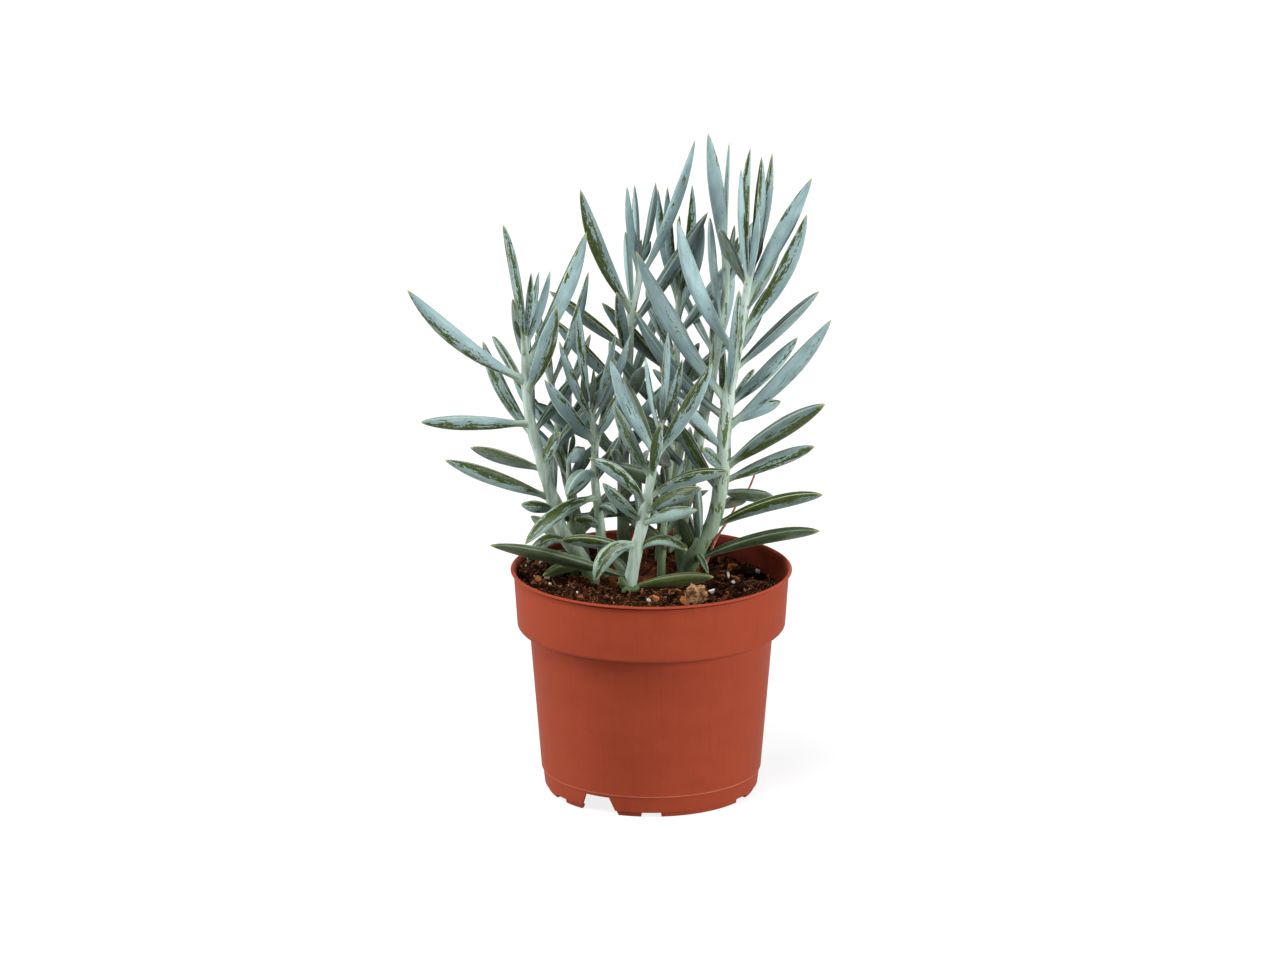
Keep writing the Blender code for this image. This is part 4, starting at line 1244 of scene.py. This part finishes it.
# Leaves that are plainly paler (0) or darker (1) than their neighbours: their own tone and painted shade
DARK_TONE_AND_SHADE = {
    "left": {(197, 3): 0.3, (194, 11): 0.15, (192, -8.5): 0.1, (187, 26): 0.25, (180, -49): 0.45,
             (176, -15): 0.75, (175, 13): 0.65, (161, -46): 0.25, (155, -22): 0.6, (143, 8): 0.1},
    "front_left": {(167, -5): 0.2, (153, 11): 0.2, (151, -21): 0.6},
    "front": {(164, 3): 0.2, (164, 9): 0.2, (161, -6): 0.15, (152, -19): 0.2, (151, 24): 0.15,
              (129, -24): 0.15, (121, 23): 0.15, (112, -18): 0.1, (97, -60): 0.95, (93, 36): 0.9},
    "right": {(224, 0.5): 0.2, (223, 4.4): 0.2, (221, 9): 0.5, (220, -3): 0.15, (214, 27.5): 0.25,
              (199, 28): 0.45, (191, -25): 0.15, (183, 37): 0.8, (171, 5): 0.3, (169, -39): 0.8,
              (167, 30): 0.3, (162, -39): 0.75, (157, 44.5): 0.4, (139, 43): 0.95, (133, 40): 0.3,
              (129, 24): 0.8, (121, 14): 0.8, (112, 48): 0.8, (97, 55): 0.72},
    "tall_left": {(222, -2): 0.3, (219, -5): 0.1, (216, 24): 0.05, (203, -22): 0.5, (203, -3): 0.3},
    "tall_right": {(222, -8): 0.45},
}
print(sum(map(len, MARKS.values())), "leaves with marks of their own and",
      sum(map(len, DARK_TONE_AND_SHADE.values())), "with a shade of their own")

# %% The numbers that each leaf carries
# How far leaves that reach sideways tip their upper edge towards the front, in radians, and how many times
# over their small random roll is taken
LEAN_FORWARD, ROLL_SHARE = 0.5, 2.0
# Leaves that start below this height have lost wax, and more of it until they are this much lower
WAXY_FROM, WAX_FADES_OVER = 155.0, 50.0
# Leaves inside the plant keep this share of their wax, and those that reach behind the limit more
INNER_WAX, BACK_WAX, INNER_LIMIT = 0.25, 0.8, 20.0
RUB_SIDES = (-0.8, -0.4, 0.0, 0.5, 0.9)
# Level leaves are bluntest on the stem at the right, and have this share of it on the others
BLUNT_STEM, POINTED = "right", 0.35


def marked(table, leaf, otherwise):
    """What a table says of a leaf, or otherwise where it doesn't name it."""
    return table.get(STEMS[leaf.stem].name, {}).get(leaf.label, otherwise)


def wear_of(leaf, draw):
    """The wax that a leaf has left, how much it is rubbed, where, and its luck, which also darkens it as
    its own tone and as painted shade.
    """
    low = min(1.0, max(0.0, (WAXY_FROM - leaf.base.z) / WAX_FADES_OVER))
    wax, rub = 1.0 - low * draw.uniform(0.35, 0.95), 0.3 + 0.75 * draw.random() ** 1.2
    rub_side = draw.choice(RUB_SIDES)
    # Leaves out of sight draw a high luck, which darkens them with painted shade
    luck = draw.random() if leaf.seen else draw.uniform(0.6, 1.0)
    if not leaf.seen:
        wax *= INNER_WAX if (leaf.base + leaf.reach).y < INNER_LIMIT else BACK_WAX
    return *marked(MARKS, leaf, (wax, rub, rub_side)), marked(DARK_TONE_AND_SHADE, leaf, luck)


def leaf_numbers(leaf, draw):
    """What one leaf's point carries."""
    along = leaf.reach.normalized()
    side = side_of(along)
    wax, rub, rub_side, luck = wear_of(leaf, draw)
    sideways = max(0.0, 1 - 1.5 * abs(along.y)) * (1 - abs(along.z))
    lean = marked(TURNED, leaf, LEAN_FORWARD * along.x * sideways if leaf.seen else 0.0)
    blunt = min(1.0, max(0.0, 1.15 - 1.4 * abs(along.z)))
    blunt *= 1.0 if leaf.seen and STEMS[leaf.stem].name == BLUNT_STEM else POINTED
    return {
        "is_leaf": 1.0, "girth": 0.0, "base": leaf.base * MM, "reach": leaf.reach * MM, "side": side,
        "inward": side.cross(along), "bow": leaf.bow, "width": leaf.width * MM,
        "roll": leaf.roll * ROLL_SHARE + lean,
        "twist": draw.uniform(-0.3, 0.3), "trough": draw.uniform(0.6, 1.0), "luck": luck,
        "blunt": blunt, "wax": wax, "rub": rub, "rub_side": rub_side,
    }


print("each leaf carries:", ", ".join(leaf_numbers(leaves[0], random.Random(0))))

# %% Grow every stem
FINE_STEP = 2.0
KNOT_SWELL, KNOT_REACH, MOST_KNOTS = 0.04, 2.6, 1.6
STEM_WAX = {"front": 1.0, "left": 0.88, "right": 0.62, "front_left": 0.7}
OTHER_STEM_WAX = 0.2


def keep_numbers(mesh, name, values):
    """Keeps one number or vector on each point of a mesh."""
    is_vector = isinstance(values[0], Vector)
    kept = mesh.attributes.new(name, "FLOAT_VECTOR" if is_vector else "FLOAT", "POINT")
    if is_vector:
        kept.data.foreach_set("vector", [number for value in values for number in value])
    else:
        kept.data.foreach_set("value", values)


def knotted_girth(stem, share, height, own):
    """The stem's radius, a little thicker where leaves join."""
    knots = sum(math.exp(-((height - leaf.base.z) / KNOT_REACH) ** 2) for leaf in own)
    return stem_girth(stem, share) * (1 + KNOT_SWELL * min(knots, MOST_KNOTS))


def grow_stem(index, stem):
    """Lays out one stem's skeleton of points, and grows the leafy stem from it."""
    draw = random.Random(SEED + 100 + index)
    own = [leaf for leaf in leaves if leaf.stem == index]
    line = curve_points(stem.path, FINE_STEP)
    line = [line[0] - Vector((0, 0, ROOT_DEPTH))] + line
    blank = {name: Vector() if isinstance(value, Vector) else 0.0
             for name, value in leaf_numbers(own[0], random.Random(0)).items()}
    wax = STEM_WAX.get(stem.name, OTHER_STEM_WAX)
    rows = [dict(blank, wax=wax, girth=knotted_girth(stem, i / (len(line) - 1), p.z, own) * MM)
            for i, p in enumerate(line)]
    rows += [leaf_numbers(leaf, draw) for leaf in own]
    mesh = bpy.data.meshes.new(stem.name)
    points = [p * MM for p in line + [leaf.base for leaf in own]]
    mesh.from_pydata(points, [(i, i + 1) for i in range(len(line) - 1)], [])
    for name in blank:
        keep_numbers(mesh, name, [row[name] for row in rows])
    start = link(bpy.data.objects.new(stem.name, mesh))
    inputs = {"Leaf finish": waxy_leaf, "Stem finish": waxy_stem}
    plant = grown(start, leafy_tree, inputs, stem.name + "_stem_and_leaves")
    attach(plant, "root")
    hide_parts("stem_" + stem.name)


for index, stem in enumerate(STEMS):
    grow_stem(index, stem)

# %% [markdown]
# ## The pot
#
# The pot is the same turned outline with its corners rounded and far more sides, then the same slots, notches
# and drain holes are cut from it with Boolean modifiers, as a tool would punch them. A shallow groove under
# the lip makes the rolled edge read as a roll. Its edges over 35 degrees stay sharp and the rest is shaded
# smooth.

# %% Helpers that round, cut and place plain meshes


def round_corners(outline, radius, steps=3):
    """Rounds each corner of an outline, by less where its sides are short."""
    made = [outline[0]]
    for before, corner, after in zip(outline, outline[1:], outline[2:]):
        before, corner, after = Vector(before), Vector(corner), Vector(after)
        back, ahead = before - corner, after - corner
        cut = min(radius, 0.42 * back.length, 0.42 * ahead.length)
        start, end = corner + back.normalized() * cut, corner + ahead.normalized() * cut
        for k in range(steps + 1):
            t = k / steps
            made.append(tuple(start * (1 - t) ** 2 + corner * 2 * t * (1 - t) + end * t ** 2))
    return made + [outline[-1]]


def mesh_object(name, shape):
    """A mesh object from points and faces in millimetres."""
    points, faces = shape
    mesh = bpy.data.meshes.new(name)
    mesh.from_pydata([Vector(p) * MM for p in points], [], faces)
    return link(bpy.data.objects.new(name, mesh))


def cut_away(body, cutters):
    """Cuts the cutters from a body and removes them."""
    group = bpy.data.collections.new("cutters")
    bpy.context.scene.collection.children.link(group)
    for cutter in cutters:
        bpy.context.scene.collection.objects.unlink(cutter)
        group.objects.link(cutter)
        mesh = bmesh.new()
        mesh.from_mesh(cutter.data)
        bmesh.ops.recalc_face_normals(mesh, faces=mesh.faces)
        mesh.to_mesh(cutter.data)
        mesh.free()
    change = body.modifiers.new("cut", "BOOLEAN")
    change.operand_type = "COLLECTION"
    change.collection = group
    change.solver = "EXACT"
    graph = bpy.context.evaluated_depsgraph_get()
    result = bpy.data.meshes.new_from_object(body.evaluated_get(graph))
    body.modifiers.clear()
    body.data = result
    for cutter in cutters:
        bpy.data.objects.remove(cutter)
    bpy.data.collections.remove(group)


square = [(0, 0), (1, 0), (1, 1), (0, 1)]
print("a square's outline with round corners has", len(round_corners(square, 0.2)), "points")

# %% The tools that punch the pot
DRAIN_HOLES, DRAIN_SIDES, DRAIN_RADIUS, DRAIN_CIRCLE = 8, 24, 4.0, 30.0
FOOT_NOTCHES, FOOT_NOTCH_WIDTH, FOOT_NOTCH_TURN = 6, 8.0, -90.0
DRAIN_SLOT_ANGLES = (-120.0, 60.0)
DRAIN_SLOT_WIDTH, DRAIN_SLOT_NARROW, DRAIN_SLOT_HEIGHT = 19.0, 11.6, 8.0
# Punches start a little under the table, so that they cut right through
BELOW = -1.0


def wedge(angle, wide, narrow, low, high, inner, outer):
    """A block across the pot's foot, wider at its bottom."""
    out = Vector((math.cos(angle), math.sin(angle), 0))
    side = Vector((-out.y, out.x, 0))
    points = []
    for radius in (inner, outer):
        for half, height in ((wide / 2, low), (narrow / 2, high)):
            points += [out * radius - side * half + Vector((0, 0, height)),
                       out * radius + side * half + Vector((0, 0, height))]
    faces = [(0, 1, 3, 2), (4, 6, 7, 5), (0, 4, 5, 1), (2, 3, 7, 6), (0, 2, 6, 4), (1, 5, 7, 3)]
    return mesh_object("wedge", (points, faces))


def upright_round(x, y, radius, low, high, sides):
    """A round bar that stands upright."""
    outline = [(0, low), (radius, low), (radius, high), (0, high)]
    points, faces = turned_shape(outline, sides)
    return mesh_object("round", ([p + Vector((x, y, 0)) for p in points], faces))


def pot_punches():
    """A round punch for each drain hole, and a wedge for each notch and slot of the foot."""
    inner, outer = FOOT_RADIUS - 6, FOOT_RADIUS + 8
    for k in range(DRAIN_HOLES):
        turn = 2 * math.pi * (k + 0.5) / DRAIN_HOLES
        x, y = DRAIN_CIRCLE * math.cos(turn), DRAIN_CIRCLE * math.sin(turn)
        yield upright_round(x, y, DRAIN_RADIUS, FLOOR_HEIGHT - 3, FLOOR_HEIGHT + 5, DRAIN_SIDES)
    for k in range(FOOT_NOTCHES):
        angle = math.radians(FOOT_NOTCH_TURN + 360 * k / FOOT_NOTCHES)
        yield wedge(angle, FOOT_NOTCH_WIDTH + 1, FOOT_NOTCH_WIDTH, BELOW, FOOT_RISE - 0.1, inner + 1,
                    outer - 3)
    for angle in DRAIN_SLOT_ANGLES:
        yield wedge(math.radians(angle), DRAIN_SLOT_WIDTH, DRAIN_SLOT_NARROW, BELOW, DRAIN_SLOT_HEIGHT,
                    inner, outer)


print(DRAIN_HOLES, "drain holes,", FOOT_NOTCHES, "notches and", len(DRAIN_SLOT_ANGLES), "slots to punch")

# %% Turn and cut the pot
FINE_SIDES = 192
GROOVE_DEPTH, LIP_FACE, LIP_TOP = 0.5, 0.95, 1.2
CORNER_ROUNDING, SHARP_OVER = 0.4, math.radians(35)


def grooved_outline():
    """The pot's outline with a thinner lip and a shallow groove under it."""
    outline = pot_profile()
    under_lip = outline.index((RIM_RADIUS, POT_HEIGHT - LIP_DEPTH))
    wall, under = outline[under_lip - 1][0], POT_HEIGHT - LIP_FACE
    outline[under_lip - 1:under_lip + 1] = [
        (wall, under - 0.8), (wall - GROOVE_DEPTH, under - 0.6), (wall - GROOVE_DEPTH, under - 0.12),
        (RIM_RADIUS - 0.2, under - 0.08), (RIM_RADIUS, under + 0.15)]
    outline[outline.index((RIM_RADIUS - LIP_WIDTH, POT_HEIGHT))] = (RIM_RADIUS - LIP_TOP, POT_HEIGHT)
    return outline


pot = mesh_object("nursery_pot", turned_shape(round_corners(grooved_outline(), CORNER_ROUNDING), FINE_SIDES))
cut_away(pot, list(pot_punches()))
pot.data.shade_smooth()
pot.data.set_sharp_from_angle(angle=SHARP_OVER)
print(f"{pot.name}: {len(pot.data.polygons)} faces")

# %% [markdown]
# ## The pot's plastic
#
# Cheap terracotta-coloured plastic is never one flat colour: it is a little mottled, has a soft sheen, and
# carries fine scuffs that run round it. Painted shade darkens the groove under the lip, the inner wall above
# the peat and the corner below the collar, and a painted highlight runs along the seam. Object coordinates
# are enough, because the pot is round about Z: their height gives the painted shade and highlight their
# place.

# %% The pot's material


def plastic_finish():
    """Mottled and scuffed plastic, with painted shade in its corners and a painted highlight on the seam."""
    material, board, shader = new_finish("terracotta plastic", IOR=1.46, Specular_IOR_Level=0.04)
    place = board.place_in_object()
    height = place.parts()[2]
    radius = (place * (1.0, 1.0, 0.0)).size()
    mottle = board.noise(place * (0.05, 0.05, 0.09), 1.0, 5.0, 0.65)
    speckle = board.noise(place, 1.3, 3.0, 0.7)
    scuffs = board.noise(place * (0.12, 0.12, 1.9), 1.0, 5.0, 0.7)
    drawn = board.noise(place * (0.55, 0.55, 0.025), 1.0, 3.0, 0.6)

    # The plastic: mottled, with darker specks, scuffs round it and marks of drawing down it
    colour = board.mix(mottle.rise(0.3, 0.7), paint(141, 59, 38), paint(147, 63, 41))
    colour = board.mix(speckle.rise(0.55, 0.75) * 0.25, colour, paint(128, 46, 25))
    colour = board.mix(scuffs.rise(0.60, 0.74) * 0.10, colour, paint(186, 100, 72))
    colour = board.mix(drawn.rise(0.45, 0.70) * 0.12, colour, paint(124, 44, 23))

    # Painted shade: in the groove under the lip, on the inner wall above the peat, and in the corner below
    # the collar
    # Painted shadow in the groove under the lip
    groove = POT_HEIGHT - LIP_FACE - 0.35
    painted_lip_shadow = (1.0 - abs(height - groove).rise(0.2, 0.45)) * radius.above(RIM_RADIUS - 2.2)
    colour = board.mix(painted_lip_shadow * 0.8, colour, paint(76, 30, 18))
    # Painted shade on the inner wall above the peat
    inside = (1.0 - (radius - height * 0.067).above(51.7)) * height.above(COLLAR_FOOT_HEIGHT + 2.0)
    colour = board.mix(inside * mottle.rise(0.2, 0.6, 0.35, 0.65), colour, paint(70, 27, 16))
    # Painted shade in the corner below the collar, where the collar's shadow falls
    corner = height.rise(COLLAR_FOOT_HEIGHT - 2.6, COLLAR_FOOT_HEIGHT - 0.2) ** 2.0
    corner = corner * (1.0 - height.above(COLLAR_FOOT_HEIGHT + 0.3))
    colour = board.mix(corner * mottle.rise(0.3, 0.7, 0.35, 0.75), colour, paint(66, 24, 14))

    # A painted highlight along the seam's small ledge
    seam = (1.0 - abs(height - SEAM_HEIGHT).rise(0.1, 0.45)) * radius.above(WALL_FOOT_RADIUS - 0.8)
    colour = board.mix(seam * scuffs.rise(0.3, 0.6, 0.4, 0.9), colour, paint(198, 116, 88))
    relief = speckle * 0.6 + scuffs * 0.4
    gloss = mottle.rise(0.3, 0.7, 0.50, 0.60) + (scuffs - 0.5) * 0.12
    wire_up(shader, Base_Color=colour, Roughness=gloss, Normal=board.bump(relief, 0.12, 0.0004))
    return material


pot.data.materials.append(plastic_finish())
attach(pot, "root")
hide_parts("pot")
print("pot finished with", pot.data.materials[0].name)

# %% [markdown]
# ## The peat
#
# Potting peat is a dark heap of crumbs, fibres and a few white grains of perlite. The plug itself is one
# turned shape whose top follows the same height rule as the solid, with finer lumps, and with the heaps and
# pits that show in front. Where peat dries it turns paler and redder, so the material is dry among the stems,
# and painted shade darkens it in the pits, a little less where it is dry.

# %% The plug of peat
PEAT_SIDES, PEAT_RINGS = 240, 90
# Finer lumps: how wide and how high, in millimetres, and where in the noise they lie
FINE_LUMPS = ((5.0, 3.0, 8.0), (2.2, 1.4, 3.0), (1.1, 0.6, 5.0))
# Heaps and pits: middle to the right and back, reach and rise, in millimetres
HEAPS = ((40, 22, 6, -6.5), (33, -3, 5, -7.0), (32, 8, 4, 2.5), (46, -5, 5, 2.0), (26, -23, 4.5, 2.5),
         (-20, 2, 6.5, -6.5), (-34, -20, 6, 2.0), (8, -36, 8, 1.2), (-55, 6, 7, 4.0), (-6, 12, 5, -2.0),
         (9, 50, 13, 4.5), (26, 46, 8, 2.5))


def peat_height(x, y):
    """The height rule of the solid with finer lumps, and the heaps and pits that show in front."""
    lumps = sum(high * noise.noise(Vector((x / wide, y / wide, layer))) for wide, high, layer in FINE_LUMPS)
    heaps = sum(rise * math.exp(-((x - at_x) ** 2 + (y - at_y) ** 2) / wide ** 2)
                for at_x, at_y, wide, rise in HEAPS)
    return soil_height(x, y) + lumps + heaps


peat = mesh_object("peat", peat_shape(peat_height, PEAT_SIDES, PEAT_RINGS))
peat.data.shade_smooth()
print(f"{peat.name}: {len(peat.data.polygons)} faces")

# %% The peat's material
# The middle of the drier patch, and the distances from it over which the peat turns damp
DRY_MIDDLE, DRY_TO, DAMP_FROM = (0.0, 14.0, 0.0), 14.0, 32.0
# Heights from the plain slope of the top: the painted shade in the pits is darkest at the first and gone from
# the second
PIT_DEPTH, CREST = -2.4, 1.8


def peat_finish(name, dark, brown, pale, luck_share, drying=0.0):
    """Mottled peat, with painted shade in its pits. Loose pieces also vary with the luck that each carries,
    by the luck share. Where drying is 1, it is dry among the stems."""
    material, board, shader = new_finish(name, IOR=1.35, Specular_IOR_Level=0.05)
    place = board.place_in_object()
    luck = board.carried("luck")
    lumps = board.noise(place, 0.32, 5.0, 0.7)
    grain = board.noise(place, 1.9, 4.0, 0.75)
    tone = (luck * 91.0).maths("FRACT")
    pale_by_luck = (luck * 37.0).maths("FRACT") ** 5.0
    colour = board.mix((lumps.rise(0.42, 0.60) + tone * luck_share) / (1.0 + luck_share), dark, brown)
    colour = board.mix(pale_by_luck * luck_share, colour, pale)
    colour = board.mix(grain.rise(0.56, 0.68) * 0.5, colour, pale)
    colour = board.mix(grain.rise(0.34, 0.46, 0.75, 0.0), colour, dark)
    from_middle = (place * (1.0, 1.0, 0.0) - DRY_MIDDLE).size()
    dry = (1.0 - from_middle.rise(DRY_TO, DAMP_FROM)) * drying
    colour = board.mix(dry * grain.rise(0.42, 0.58, 0.1, 0.75), colour, paint(158, 92, 62))
    x, y, height = place.parts()
    plain_top = SOIL_HEIGHT - (x * 0.8 + y * 0.6) * SOIL_SLOPE
    # Painted shade in the pits, a little less where the peat is dry
    painted_pit_shade = (height - plain_top).rise(PIT_DEPTH, CREST, 1.0, 0.0) * (1.0 - dry * 0.4)
    colour = board.mix(painted_pit_shade, colour, paint(6, 4, 3))
    relief = lumps * 0.5 + grain * 0.5
    gloss = grain.rise(0.2, 0.8, 0.82, 0.98)
    wire_up(shader, Base_Color=colour, Roughness=gloss, Normal=board.bump(relief, 0.9, 0.0012))
    return material


damp_peat = peat_finish("damp peat", paint(5, 3, 2), paint(52, 29, 19), paint(142, 84, 50), 0.0, 1.0)
peat.data.materials.append(damp_peat)
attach(peat, "root")
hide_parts("soil")
print("peat finished with", damp_peat.name)

# %% [markdown]
# ## Loose pieces on the peat
#
# What makes peat look like peat is thousands of loose pieces. Geometry Nodes scatter them over the plug's
# top: each kind is one small shape of a few dozen faces, which is turned, stretched and roughened for every
# copy. Most copies are near the smallest size and few are large, as in a real heap. Any point that would lie
# in the pot's wall is pulled back inside it.

# %% The Geometry Nodes that scatter loose pieces
PEAT_TOP_FROM = 70.0


def scatter_tree(name, shape):
    """Scatters small shapes over the upper side of a mesh. The shape is crumb, fibre or grain."""
    board, ground = geometry_board(name)
    count = board.input("Density per square metre", "Float", 100000.0)
    small = board.input("Smallest", "Float", 0.0005)
    large = board.input("Largest", "Float", 0.0020)
    seed = board.input("Seed", "Int", 1)
    rough = board.input("Roughness of shape", "Float", 0.35)
    inside = board.input("Pot's inner radius", "Float", 0.0566)
    smoothness = board.input("Roundness", "Int", 2)
    finish = board.input("Finish", "Material")
    place = board.node("GeometryNodeInputPosition")
    height = place.parts()[2]
    up = board.node("GeometryNodeInputNormal").parts()[2]
    is_top = height.above(PEAT_TOP_FROM * MM) * up.above(0.3)
    dots = board.node("GeometryNodeDistributePointsOnFaces", {"distribute_method": "RANDOM"},
                      {"Mesh": ground, "Selection": is_top, "Density": count, "Seed": seed}, "Points")
    luck = board.node("FunctionNodeRandomValue", {"data_type": "FLOAT"}, {"Seed": seed}, 1)
    dots = board.keep(dots, "luck", luck)
    tilt = 0.5 if shape == "fibre" else 1.5
    if shape == "fibre":
        line = board.node("GeometryNodeCurveQuadraticBezier", {},
                          {"Resolution": 5, "Start": (-1.0, 0.0, 0.0), "Middle": (0.0, 0.5, 0.3),
                           "End": (1.0, 0.0, 0.0)})
        circle = board.node("GeometryNodeCurvePrimitiveCircle", {}, {"Resolution": 4, "Radius": 0.055})
        unit = board.node("GeometryNodeCurveToMesh", {},
                          {"Curve": line, "Profile Curve": circle, "Fill Caps": True})
    else:
        unit = board.node("GeometryNodeMeshIcoSphere", {}, {"Radius": 1.0, "Subdivisions": smoothness})
    spin = board.node("FunctionNodeRandomValue", {"data_type": "FLOAT_VECTOR"},
                      {"Min": (-tilt, -tilt, -3.1), "Max": (tilt, tilt, 3.1), "Seed": seed})
    stretch = board.node("FunctionNodeRandomValue", {"data_type": "FLOAT_VECTOR"},
                         {"Min": (0.7, 0.3, 0.25), "Max": (2.0, 0.8, 0.7), "Seed": seed})
    chance = board.attribute("luck")
    size = small + (large - small) * chance ** 3.0
    scale = stretch * size if shape != "fibre" else board.xyz(size, size, size)
    copies = board.node("GeometryNodeInstanceOnPoints", {},
                        {"Points": dots, "Instance": unit, "Rotation": spin, "Scale": scale})
    real = board.node("GeometryNodeRealizeInstances", {}, {"Geometry": copies})
    bumps = board.node("ShaderNodeTexNoise", {}, {"Vector": place * 1500.0, "Scale": 1.0, "Detail": 2.0},
                       "Color")
    shift = (bumps - (0.5, 0.5, 0.5)) * (size * rough * 2.0)
    real = board.node("GeometryNodeSetPosition", {}, {"Geometry": real, "Offset": shift})
    within = (1.0 / (place * (1.0, 1.0, 0.0)).size() * inside).at_most(1.0)
    pulled = board.xyz(within, within, 1.0) * place
    real = board.node("GeometryNodeSetPosition", {}, {"Geometry": real, "Position": pulled})
    real = board.node("GeometryNodeSetMaterial", {}, {"Geometry": real, "Material": finish})
    board.result(real)
    return board.tree


def scatter(name, shape, inputs):
    """Scatters one kind of loose piece over a copy of the peat."""
    ground = link(bpy.data.objects.new("ground", peat.data.copy()))
    made = grown(ground, scatter_tree(name, shape), inputs, name)
    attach(made, "root")
    return made


print("loose pieces lie where the peat is over", PEAT_TOP_FROM, "mm high")

# %% Scatter clods, crumbs, fibres and perlite
crumb_finish = peat_finish("loose crumbs", paint(9, 5, 3), paint(86, 46, 25), paint(190, 120, 76), 0.9, 1.0)
fibre_finish = peat_finish("dry fibres", paint(84, 52, 34), paint(138, 92, 62), paint(204, 156, 114), 0.5)
perlite_finish = peat_finish("perlite", paint(214, 208, 198), paint(250, 248, 244), paint(255, 254, 252), 0.3)
# Shape, finish, number per square metre, smallest and largest in millimetres, seed, roughness and roundness
LOOSE = {
    "peat_clods": ("crumb", crumb_finish, 30000.0, 0.7, 2.6, 31, 0.8, 2),
    "peat_crumbs": ("crumb", crumb_finish, 500000.0, 0.16, 0.9, 4, 0.6, 1),
    "peat_dust": ("crumb", crumb_finish, 380000.0, 0.14, 0.65, 17, 0.6, 1),
    "peat_fibres": ("fibre", fibre_finish, 240000.0, 0.6, 3.4, 9, 0.3, 2),
    "perlite_grains": ("grain", perlite_finish, 2600.0, 0.4, 1.7, 12, 0.35, 2),
}
for name, (shape, finish, density, smallest, largest, seed, roughness, roundness) in LOOSE.items():
    scatter(name, shape, {"Density per square metre": density, "Smallest": smallest * MM,
                          "Largest": largest * MM, "Seed": seed, "Roughness of shape": roughness,
                          "Roundness": roundness, "Finish": finish})

# %% [markdown]
# ## The odd bits
#
# A few things in the photograph follow no rule: a straw-coloured clod in front, the larger grains of perlite,
# the scarred knobs at the foot of the front stem, and a dry pinkish root that hangs behind the low leaves on
# the right. So each is placed one by one. The lumps are spheres pushed in and out by noise. The root is a
# tube round a smooth curve that ends in the peat.

# %% Helpers for odd bits


def lump(middle, radii, lean, rough, grain, seed, squareness=1.0):
    """(points, faces) of an ellipsoid, squarer for a lower squareness power, pushed in and out by noise."""
    ball = bmesh.new()
    bmesh.ops.create_icosphere(ball, subdivisions=4, radius=1.0)
    turn = Matrix.Rotation(lean, 3, "Y")
    points = []
    for v in ball.verts:
        p = Vector(math.copysign(abs(v.co[i]) ** squareness, v.co[i]) * radii[i] for i in range(3))
        push_out = noise.noise(p / grain + Vector((seed, 0, 0))) + 0.5 * noise.noise(p / grain * 2.3)
        points.append(Vector(middle) + turn @ (p + v.co * (rough * push_out)))
    faces = [[v.index for v in face.verts] for face in ball.faces]
    ball.free()
    return points, faces


def joined(shapes):
    """Several shapes as one."""
    points, faces = [], []
    for some, sides in shapes:
        faces += [[i + len(points) for i in side] for side in sides]
        points += some
    return points, faces


def finished(name, shape, material):
    """A smooth mesh object with its finish, riding with the plant."""
    made = mesh_object(name, shape)
    made.data.shade_smooth()
    made.data.materials.append(material)
    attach(made, "root")
    print(f"{name}: {len(made.data.polygons)} faces")
    return made


print("a lump has", len(lump((0, 0, 0), (1, 1, 1), 0.0, 0.2, 1.0, 0)[1]), "faces")

# %% Make the straw-coloured clod and the perlite in front
CLOD_PLACE, CLOD_RADII = (18.4, -30.0, 92.4), (4.4, 3.0, 5.6)
# Grains that show in front: middle to the right and back, and radius
PERLITE_SEEN = ((-1.0, -34.5, 0.9), (-28.5, -26.0, 0.8), (35.0, 5.0, 0.8), (46.0, 29.0, 1.1),
                (39.0, 36.0, 0.7), (-31.5, -26.5, 0.4), (-43.0, -12.0, 0.6))
# A power under 1 gives a ball flatter sides
SQUARISH = 0.7

straw_finish = peat_finish("straw clod", paint(96, 64, 42), paint(190, 146, 104), paint(238, 202, 156), 0.0)
straw_clod = lump(CLOD_PLACE, CLOD_RADII, 0.3, 1.5, 1.2, 3.0, SQUARISH)
finished("straw_clod", straw_clod, straw_finish)
grains = [lump((x, y, peat_height(x, y) + 0.5), (size, size * 0.8, size * 0.7), 0.4, 0.5, 0.8, i, SQUARISH)
          for i, (x, y, size) in enumerate(PERLITE_SEEN)]
finished("perlite_in_front", joined(grains), perlite_finish)

# %% Make the knobs of the front stem's foot
# Middle, radii and lean to the right, in millimetres and radians
KNOBS = (((-12.0, -18.8, 95.6), (1.7, 1.5, 3.2), -0.45), ((-9.6, -19.4, 92.2), (3.0, 2.2, 2.8), 0.0),
         ((-6.8, -19.6, 93.2), (1.3, 1.3, 2.2), 0.9), ((-9.2, -18.4, 89.6), (3.3, 2.9, 3.4), 0.0))
KNOB_WAX = 0.15

knobs = [lump(middle, radii, lean, 0.35, 1.2, i) for i, (middle, radii, lean) in enumerate(KNOBS)]
front_knobs = finished("front_stem_knobs", joined(knobs), waxy_stem)
keep_numbers(front_knobs.data, "wax", [KNOB_WAX] * len(front_knobs.data.vertices))

# %% Make the dry root
ROOT_PATH = [(21, 32, 80), (23.5, 31, 89), (28, 30, 101), (32.4, 29.5, 108.5), (35, 29.5, 113),
             (37.8, 30, 118.6), (41.6, 30, 123), (44.2, 29, 129.5), (45.2, 28, 133)]
ROOT_RADIUS, ROOT_TAPER, ROOT_SIDES = 0.62, 0.3, 8

root_line = curve_points(ROOT_PATH, 1.0)
root_radii = [ROOT_RADIUS * (1 - ROOT_TAPER * i / len(root_line)) for i in range(len(root_line))]
dry_finish = peat_finish("dry root", paint(196, 122, 100), paint(226, 154, 130), paint(240, 184, 160), 0.0)
finished("dry_root", tube_shape(root_line, root_radii, ROOT_SIDES), dry_finish)

# %% [markdown]
# ## The sizes
#
# The dressed plant has to fill the same box as its plain solids, or it would no longer fit what was measured
# from them.
